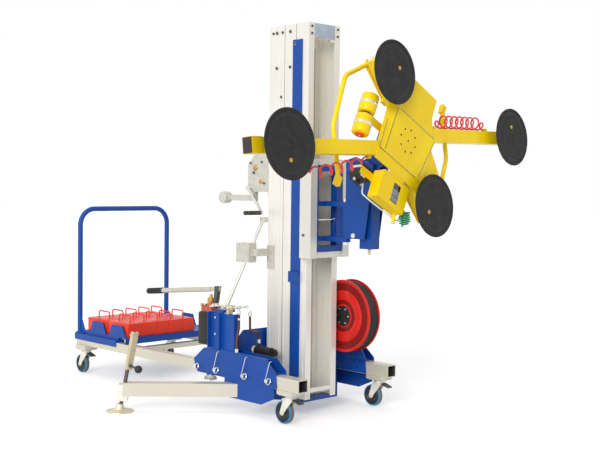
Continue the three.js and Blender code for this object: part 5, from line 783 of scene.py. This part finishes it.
# Hand pump
def build_pump():
    tank = slab("tank_body", (-602.3 - 122, -388, 352), (-602.3, -288, 545), BASE, TANK, 11)
    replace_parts(dress(tank, "chassis"), "pump_tank")
    for z in (372, 524):
        band = round_corner([(-725, -330, z), (-725, -388.8, z), (-602, -388.8, z), (-602, -330, z)], 11, 6)
        dress(tube(f"tank_seam_{z}", band, 3, BASE, TANK, 8), "chassis")
    clone("pump_body", "pump_casting", "chassis", [
        ((-760, -400, 580), (-640, -300, 660), BRASS),
        ((-760, -400, 555), (-711, -300, 570), BRASS),
        ((-612, -400, 575), (-560, -300, 620), BRIGHT),
        ((-640, -400, 622), (-560, -300, EVERY), DARK_STEEL),
    ], CAST_RED)
    for place in (-690, -640):
        ends = [(place, -350, 579), (place, -350, 590)]
        dress(hexagon(f"pump_plug_{-place}", *ends, 17, BASE, BRASS), "chassis")
    dress(rod("filler_cap", (-704, -372, 578), (-704, -372, 592), 20, BASE, BRASS), "chassis")
    clone("pump_lever", "lever_bar", "lever", [], LEVER_METAL)
    grip = [
        (0, 0), (16, 0), (18.6, 2.5), (18.9, 8), (18.2, 12),
        (18.9, 16), (18.9, 138), (18.2, 144), (18.9, 147),
        (18.9, 151), (16.5, 152), (0, 152),
    ]
    dress(lathe("lever_grip", grip, LEVER @ move(-690.3, 0, 0), BLACK_RUBBER, 40, "X"), "lever")


# Hydraulic line: a steel pipe over the bracket, then two hoses down
def build_pump_hose():
    port = (-393.7, -200, 376)
    corners = [
        (-592, -365, 590.3), (-425, -365, 590), (-285, -365, 610),
        (-300, -350, 470), (port[0], port[1], 440), port,
    ]
    route = round_corner(corners, 30, 10)
    turn_at = max(range(len(route)), key=lambda i: route[i].x)
    split = next(i for i in range(turn_at, len(route)) if route[i].z < 570)
    pipe_end = Vector((-288.7, -361.3, 566))
    pipe = tube("pressure_pipe", route[:split] + [pipe_end], 13, BASE, BRIGHT, 24)
    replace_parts(dress(pipe, "chassis"), "pump_hose")
    dress(tube("pressure_hose", [pipe_end] + route[split:], 14, BASE, BROWN_HOSE, 24),
          "chassis")
    tee = Vector((-378, -365, 596.7))
    drop = [tee, (-378, -365, 560)]
    steel(tube("branch_pipe", drop, 12, BASE, BRIGHT, 24))
    branch = round_corner([(-378, -365, 562), (-378, -365, 480), (-372, -384, 420), (-372, -385, 342)], 40, 8)
    dress(tube("branch_hose", branch, 14, BASE, BROWN_HOSE, 24), "chassis")
    for name, a, b, across in (
        ("pump_nut", (-590, -365, 590.3), (-570, -365, 590.2), 19),
        ("tee_body", (-392, -365, 594.7), (-364, -365, 598.7), 20),
        ("elbow_nut", (-322, -365, 604.7), (-306, -365, 607), 19),
        ("branch_nut", (-378, -365, 578), (-378, -365, 556), 18),
        ("pressure_nut", (-287.6, -362.4, 576), (-289.4, -360.6, 556), 18),
        ("port_nut", port, (port[0], port[1], 398), 19),
        ("box_nut", (-372, -385, 343.4), (-372, -385, 364), 19),
    ):
        steel(hexagon(name, a, b, across, BASE, BRIGHT))
    dress(rod("branch_mark", (-378, -365, 536), (-378, -365, 524), 14.8, BASE, CREAM),
          "chassis")
    steel(slab("manifold_block", (-476, -380, 576), (-426, -352, 603), BASE, BEIGE, 2.5))
    steel(slab("manifold_foot", (-460, -391, 552), (-442, -356, 577), BASE, BEIGE, 1.5))
    steel(hexagon("manifold_plug", (-451, -379, 589), (-451, -391, 589), 17, BASE, BRIGHT))


# Air hoses of the lifter
CURL_STEPS = 26


def curled(length, curls, radius, lead, sag=0.0, side=1.0, swing=0.0):
    """Curled route on one side of a line: side widens the curls across, swing opens them along."""
    route = [(0, 0, 0)]
    for step in range(curls * CURL_STEPS + 1):
        share = step / (curls * CURL_STEPS)
        rise = max(0, min(share * curls, (1 - share) * curls, 1))
        swell = radius * rise * rise * (3 - 2 * rise)
        angle = share * curls * math.tau
        along = lead + share * (length - 2 * lead) + math.sin(angle) * swell * swing
        hang = sag * share * min(1, (1 - share) * 8)
        route.append((math.sin(angle) * swell * side, along, (1 - math.cos(angle)) * swell + hang))
    route.append((0, length, 0))
    return route


def build_hoses():
    # From face to face of the ports, whose middles lie at 292 and 800 along the arm
    start, end = 292 + 10.3, 800 - 10.3
    hoses = (("left", 6, 27, 60, -0.3, 0.5), ("right", 9, 34, 0, 1.0, 0.0))
    for name, curls, radius, sag, side, swing in hoses:
        at = ARMS[name] @ move(-90, start, 36.5 + 18 - 8)
        route = curled(end - start, curls, radius, 8, sag, side, swing)
        obj = tube("curly_hose_" + name, route, 9.6, at, RED_HOSE, 14)
        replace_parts(dress(obj, "lifter"), "hose_" + name)
        for where, back in ((start, 0), (end - 14, 1)):
            a, b = (-90, where, 46.5), (-90, where + 14, 46.5)
            dress(rod(f"hose_end_{name}_{back}", a, b, 11, ARMS[name], BRASS), "lifter")
    at = LIFT @ move(-95, 135, -330) @ turn("X", -60)
    obj = tube("curly_hose_green", curled(98, 7, 28, 8), 8, at, GREEN_HOSE, 14)
    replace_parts(dress(obj, "lifter"), "hose_green")
    dress(rod("air_valve_body", (-84, 119, -243), (-84, 136, -243), 17, LIFT, BLACK_PLASTIC),
          "lifter")
    dress(rod("air_valve_cap", (-84, 136, -243), (-84, 144, -243), 13, LIFT, GREEN_CAP),
          "lifter")
    line = round_corner([
        (-160, -125, -312), (-152, -120, -372), (-122, -60, -394), (-114, 90, -396), (-138, 186, -376),
        (-140, 204, -300), (-132, 160, -262), (-116, 119, -262),
    ], 22, 6)
    dress(tube("vacuum_tube", line, 8, LIFT, WHITE_TUBE, 16), "lifter")


# Vacuum canisters and pump
def build_canisters():
    at = LIFT @ move(-100, -310, -20)
    shell = [
        (0, 5), (28, 5), (38, 7), (44, 11), (46, 17), (46, 105), (44, 111), (38, 115), (26, 117), (0, 117),
    ]
    for tag, side in (("upper", 1), ("lower", -1)):
        obj = lathe("canister_shell_" + tag, [(r, h * side) for r, h in shell], at, YELLOW, 64)
        dress(obj, "lifter")
        if side > 0:
            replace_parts(obj, "vacuum_canisters")
        band_at = at @ move(0, 0, 61 * side)
        ring = [(45.7, -7), (47.2, -6.4), (47.2, 6.4), (45.7, 7)]
        steel(lathe("canister_band_" + tag, ring, band_at, BRIGHT, 64), "lifter")
        steel(slab("canister_latch_" + tag, (44, -9, -8), (53, 9, 8), band_at, BRIGHT, 2), "lifter")
    neck = [(0, -6), (30, -6), (30, 6), (0, 6)]
    dress(lathe("canister_neck", neck, at, BLACK_PLASTIC, 48), "lifter")
    disc = [(0, 0), (22, 0), (24, 1.5), (24, 4), (22, 5.5), (9, 6.5), (0, 6.5)]
    below = at @ move(0, 0, -116.5) @ turn("X", 180)
    dress(lathe("canister_end_disc", disc, below, ORANGE, 48), "lifter")
    steel(hexagon("canister_screw", (0, 0, 6), (0, 0, 10), 11, below, BRIGHT), "lifter")
    clone("lifter_pump", "vacuum_pump", "lifter", [], BLACK_PLASTIC)
    steel(slab("pump_strap", (-206.5, -202.2, -262), (-130.6, -107.8, -247), LIFT, BRIGHT, 1.2), "lifter")
    dress(slab("pump_patch", (-131.6, -190, -303), (-130.5, -152, -272), LIFT, CREAM, 0.4),
          "lifter")
    for number, s in enumerate((-186, -155, -126)):
        low = -337 if s == -155 else -326
        steel(rod(f"pump_fitting_{number}", (-168, s, low), (-168, s, -312), 15, LIFT, BRIGHT), "lifter")


# Guard hoops, plates and control box of the lifter
def build_lifter():
    clone("lifter_body", "lifter_frame", "lifter", [
        # The floors of the flange holes are coloured black as painted shade
        ((-53.6, -75, -75), (-50.6, 75, 75), BLACK_PLASTIC, LIFT),
    ], YELLOW)
    for side in (0, 1):
        at = LIFT @ turn("X", 180 * side)
        corners = [(-150, -349, 275), (-150, -479, 118), (-150, -456, -166), (-150, -315, -390)]
        route = round_corner(corners, 70, 12)
        dress(tube(f"guard_hoop_{side}", route, 24.6, at, YELLOW, 24), "lifter")
    left, right, bottom, top = -4.4, 53.4, -354.4, -250.6
    for name, low, high, material in (
        ("control_face", bottom, top, GREY_PLASTIC), ("control_screen", top - 30, top - 1, WINDOW),
        ("control_line", bottom + 34, bottom + 37, BLACK_PLASTIC),
        ("control_edge", bottom + 1, bottom + 5, BLACK_PLASTIC),
    ):
        depth = -59.6 if name == "control_face" else -59.0
        outline = [(left, low), (right, low), (right, high), (left, high)]
        dress(plate(name, outline, -61, depth, "X", LIFT, material, 0.4), "lifter")
    for name in ("left", "right"):
        cap = slab("arm_cap_" + name, (-119.5, 1140, -37), (-60.5, 1148, 37), ARMS[name], ARM_CAP, 2.6)
        dress(cap, "arm_" + name)
    # Thin dark rods along the joints between the lifter plates are painted shade, and the pale yellow rods
    # beside them are a painted highlight on the bent edges
    seams = {
        "fold": ((-141, 118), (-152, -136)), "upper": ((-112, 126), (196, 126)),
        "lower": ((-196, -148), (130, -148)),
        "right": ((204, 112), (150, -146)), "edge": ((-196, 20), (-196, -146)),
    }
    for name, ((s0, p0), (s1, p1)) in seams.items():
        for tag, shift, material in (("gap", 0.0, ARM_CAP), ("painted_highlight", 3.2, YELLOW_HIGHLIGHT)):
            run = Vector((0, s1 - s0, p1 - p0)).normalized()
            over = Vector((0, -run.z, run.y)) * shift
            a, b = Vector((-49.9, s0, p0)) + over, Vector((-49.9, s1, p1)) + over
            dress(rod(f"seam_{name}_{tag}", a, b, 2.4, LIFT, material, 0.6, 10), "lifter")


# Cable reel
def build_reel():
    at = BASE @ move(-70, 160, 538)
    profile = [
        (17, 3), (17, 88), (32, 88), (32, 6), (178, 6),
        (180, 8), (180, 92), (206, 92), (209.5, 90.5), (210, 87),
        (209.5, 83), (206, 82), (202, 86), (187, 87), (186, 85),
        (186, 7), (187, 5), (202, 6), (206, 10), (209.5, 9),
        (210, 5), (209.5, 1.5), (206, 0), (196, 0), (192, 2), (150, 2), (146, 0), (96, 0), (92, 2), (70, 2),
        (66, 0), (0, 0), (0, 3),
    ]
    drum = lathe("reel_drum", profile, at, REEL_RED, 96, "Y")
    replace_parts(dress(drum, "reel"), "cable_reel")
    # Rings of painted shade on the floors of the two recesses
    for name, inner, outer in (("reel_recess_inner", 68, 93), ("reel_recess_outer", 149, 193)):
        ring = [(inner, 1.3), (outer, 1.3), (outer, 2.6), (inner, 2.6)]
        dress(lathe(name, ring, at, REEL_RECESS_SHADE, 96, "Y"), "reel")
    hub = [(0, -3.3), (58, -3.3), (61, -1.4), (61, 0.5), (0, 0.5)]
    dress(lathe("reel_hub", hub, at, BLACK_PLASTIC, 64, "Y"), "reel")
    for bolt in range(6):
        a = bolt / 6 * math.tau
        x, z = math.cos(a) * 46, math.sin(a) * 46
        steel(hexagon(f"reel_bolt_{bolt}", (x, -3, z), (x, -4.2, z), 10, at, BRIGHT), "reel")
    route = []
    loops, steps, radius, pitch, first = 5, 64, 194.2, 14.6, 13
    for step in range(loops * steps + 1):
        a = step / steps * math.tau
        route.append((math.cos(a) * radius, first + step / steps * pitch, math.sin(a) * radius))
    cable = tube("reel_winding", route, 14, at, CABLE, 12)
    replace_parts(dress(cable, "reel"), "reel_cable")


# Pieces of the chassis whose faces take several finishes
def build_chassis():
    clone("chassis_frame", "chassis_body", "chassis", [
        ((-EVERY, -430, 202), (-40, -397.2, 243), BRIGHT),
        ((-EVERY, -430, 243), (-40, -399, 345), CORD_WHITE),
        ((-EVERY, 397.2, 202), (-40, 430, 243), BRIGHT),
        ((-640, -415, 150), (-555, -365, 182), GALV),
        ((-EVERY, 170, 520), (0, 268, 556), BRIGHT),
        ((-565, -400, 418), (-541, -390.4, 540), BRIGHT),
    ], BLUE)
    clone("winch", "winch_housing", "chassis", [
        ((-573, -72, 1337), (-467, -50, 1443), BRASS),
    ], GALV)
    clone("winch_crank", "winch_handle_bar", "winch_handle", [], BRIGHT)
    grip = [
        (0, 0), (11, 0), (12.9, 2), (12.9, 20), (12.1, 24), (12.9, 28), (12.9, 92), (12.1, 96),
        (12.9, 100), (12.9, 116), (11, 118.6), (0, 118.6),
    ]
    end_y = -138 - 10 - 0.4 - 6 - 118
    dress(lathe("winch_grip", grip, WINCH_CRANK @ move(188, end_y - 0.4, 0), ARM_CAP, 32, "Y"),
          "winch_handle")
    for node, material in (
        ("rear_frame", GALV_X), ("mast_base", MAST), ("mast_middle", MAST), ("mast_guard", BLUE),
        ("carriage_rails", RAIL),
    ):
        cover(node, material)
    for tag, y in (("near", -HALF_TRACK), ("far", HALF_TRACK)):
        # The faces inside each leg tube take painted shade
        clone("leg_" + tag, "leg_tube_" + tag, "chassis", [
            ((-EVERY, y - 30.3, 190.7), (EVERY, y + 30.3, 251.3), INSIDE_SHADE),
        ], GALV_X)
    clone("mast_front", "mast_front_stage", "mast_front", [
        ((-180, -70, 2040), (-110, -10, 2112), SHEAVE),
    ], MAST)
    clone("carriage_frame", "carriage_body", "carriage", [
        ((-61, -103, 1093), (-45, 103, 1107), BRIGHT), ((76, -21, 955), (118, 21, 979.5), BRIGHT),
        ((76, -21, 1204.5), (118, 21, 1225), BRIGHT),
    ], BLUE)
    clone("slew_bracket", "slew_body", "slew", [
        ((155, -12, 905), (187, 12, 949.6), BEIGE, SLEW),
        ((98, -80, 1006), (128, -66.2, 1038), WHITE_ZINC, SLEW),
        ((98, 66.2, 1006), (128, 80, 1038), WHITE_ZINC, SLEW),
    ], BLUE)
    clone("tilt_head", "tilt_body", "tilt", [], BLUE)
    clone("tilt_cylinder", "cylinder_body", "chassis", [
        ((-440, -240, 300), (-410.5, -160, 370), CREAM),
    ], CYLINDER)
    clone("brace_strut", "strut_tube", "chassis", [], GALV)
    clone("brace_clamp", "clamp_body", "chassis", [], GALV)
    for arm in ("left", "right", "top", "bottom"):
        clone("lifter_arm_" + arm, "arm_tube_" + arm, "arm_" + arm, [], YELLOW)


def bolt(name, at, out, body, across=16):
    """Hexagon head on a washer, standing out of a face."""
    at, out = Vector(at), Vector(out)
    seat = at + out * 1.6
    steel(rod(name + "_washer", at, seat, across * 1.5, BASE, BRIGHT, 0.5, 28), body)
    steel(hexagon(name + "_head", seat, at + out * 8, across, BASE, DARK_STEEL), body)


# Bolts and facing plates of the mast, winch and carriage
def build_mast_details():
    near = (0, -1, 0)
    for body, x in (("chassis", -346), ("mast_middle", -235)):
        for z in (2160, 1960):
            bolt(f"mast_bolt_{-x}_{z}", (x, -123.0, z), near, body)
    for x, body in ((-299, "mast_middle"), (-306, "mast_middle"), (-376, "chassis")):
        bolt(f"mast_side_bolt_{-x}", (x, -123.2, 2160 if x != -306 else 1795), near, body, 13)
    for body, x in (("chassis", -282), ("mast_middle", -188)):
        # Thin dark strips of painted shade along the gaps between the mast stages
        gap = slab(f"stage_gap_{-x}", (x - 1.3, -123.7, 84), (x + 1.3, -122.6, 2198), BASE, INSIDE_SHADE, 0.3)
        dress(gap, body)
    bolt("guard_bolt", (-194, -129.4, 2090), near, "mast_front", 14)
    for y in (-102, 102):
        for z in (2180, 2140):
            bolt(f"top_bolt_{'far' if y > 0 else 'near'}_{z}", (-86, y, z), (1, 0, 0), "mast_front", 12)
    outline = [(-80, 2121), (80, 2121), (80, 2199), (-80, 2199)]
    face = plate("mast_top_face", outline, -86.4, -84.2, "X", BASE, TOP_BLUE, 0.6)
    steel(face, "mast_front")
    # Clear of the carriage's top shoe, which reaches 2100 at full travel
    small = slab("channel_bracket", (-116, 52, 2104), (-88, 80, 2119), BASE, WHITE_ZINC, 2)
    dress(small, "mast_front")
    bolt("rail_bolt", (-80, -155, 1014), near, "carriage", 14)
    bolts = (("a", -560, 1419, 13), ("b", -462, 1424, 13), ("c", -531, 1362, 17), ("d", -440, 1300, 13))
    for name, x, z, width in bolts:
        bolt("winch_bolt_" + name, (x, -128, z), near, "chassis", width)
    for name, x, z, radius in (("drum", -520, 1390, 16), ("shaft", -470, 1310, 13)):
        cap = [(0, 0), (radius, 0), (radius, 5), (radius - 4, 7), (radius - 5, 10), (0, 10)]
        at = BASE @ move(x, -128, z) @ turn("X", 180)
        steel(lathe("winch_cap_" + name, cap, at, BRASS, 32, "Y"))


def shown(tree, plain, bright, surface):
    """The bright shader for camera and glossy rays, the plain one for all others."""
    ray = tree.nodes.new("ShaderNodeLightPath")
    either = tree.nodes.new("ShaderNodeMath")
    either.operation = "MAXIMUM"
    choose = tree.nodes.new("ShaderNodeMixShader")
    for start, end in (
        (ray.outputs["Is Camera Ray"], either.inputs[0]), (ray.outputs["Is Glossy Ray"], either.inputs[1]),
        (either.outputs[0], choose.inputs["Fac"]), (plain.outputs[0], choose.inputs[1]),
        (bright.outputs[0], choose.inputs[2]), (choose.outputs[0], surface),
    ):
        tree.links.new(start, end)


# Pale floor that reads white to the camera, even sky light and two soft lamps
def build_stage():
    reach, floor_glow, sky_light = 40, 0.36, 0.50
    mesh = bpy.data.meshes.new("floor")
    corners = [(-reach, -reach, 0), (reach, -reach, 0), (reach, reach, 0), (-reach, reach, 0)]
    mesh.from_pydata(corners, [], [(0, 1, 2, 3)])
    floor = new_object("floor", mesh)
    g = Graph("floor")
    g.colour(g.mix(g.spread(g.noise(0.8, 2), 0.0, 1.0), (0.80, 0.80, 0.80, 1), (0.83, 0.83, 0.83, 1)))
    g.put(Roughness=0.9, Specular_IOR_Level=0.1)
    glow = g.add("ShaderNodeEmission")
    g.feed(glow, Color=(1, 1, 1, 1), Strength=floor_glow)
    both = g.add("ShaderNodeAddShader")
    g.link(g.shader.outputs[0], both.inputs[0])
    g.link(glow.outputs[0], both.inputs[1])
    shown(g.tree, g.shader, both, g.tree.nodes["Material Output"].inputs["Surface"])
    mesh.materials.append(g.material)

    world = bpy.data.worlds.new("world")
    bpy.context.scene.world = world
    world.use_nodes = True
    tree = world.node_tree
    sky = tree.nodes["Background"]
    g.feed(sky, Color=(1, 1, 1, 1), Strength=sky_light)
    seen = tree.nodes.new("ShaderNodeBackground")
    g.feed(seen, Color=(1, 1, 1, 1), Strength=1.0)
    shown(tree, sky, seen, tree.nodes["World Output"].inputs["Surface"])

    lamps = (("key", (-0.40, 0.81, -0.42), 35, 2.0), ("top", (0.15, 0.1, -1.0), 60, 0.5))
    for name, aim, spread, power in lamps:
        data = bpy.data.lights.new(name, "SUN")
        data.angle = math.radians(spread)
        data.energy = power
        lamp = new_object(name, data)
        lamp.rotation_euler = Vector(aim).to_track_quat("-Z", "Y").to_euler()
    bpy.context.scene.view_settings.view_transform = "Standard"


build_stage()
build_casters()
build_pads()
build_weights()
build_platform()
build_jack()
build_pump()
build_pump_hose()
build_hoses()
build_canisters()
build_lifter()
build_reel()
build_chassis()
build_mast_details()
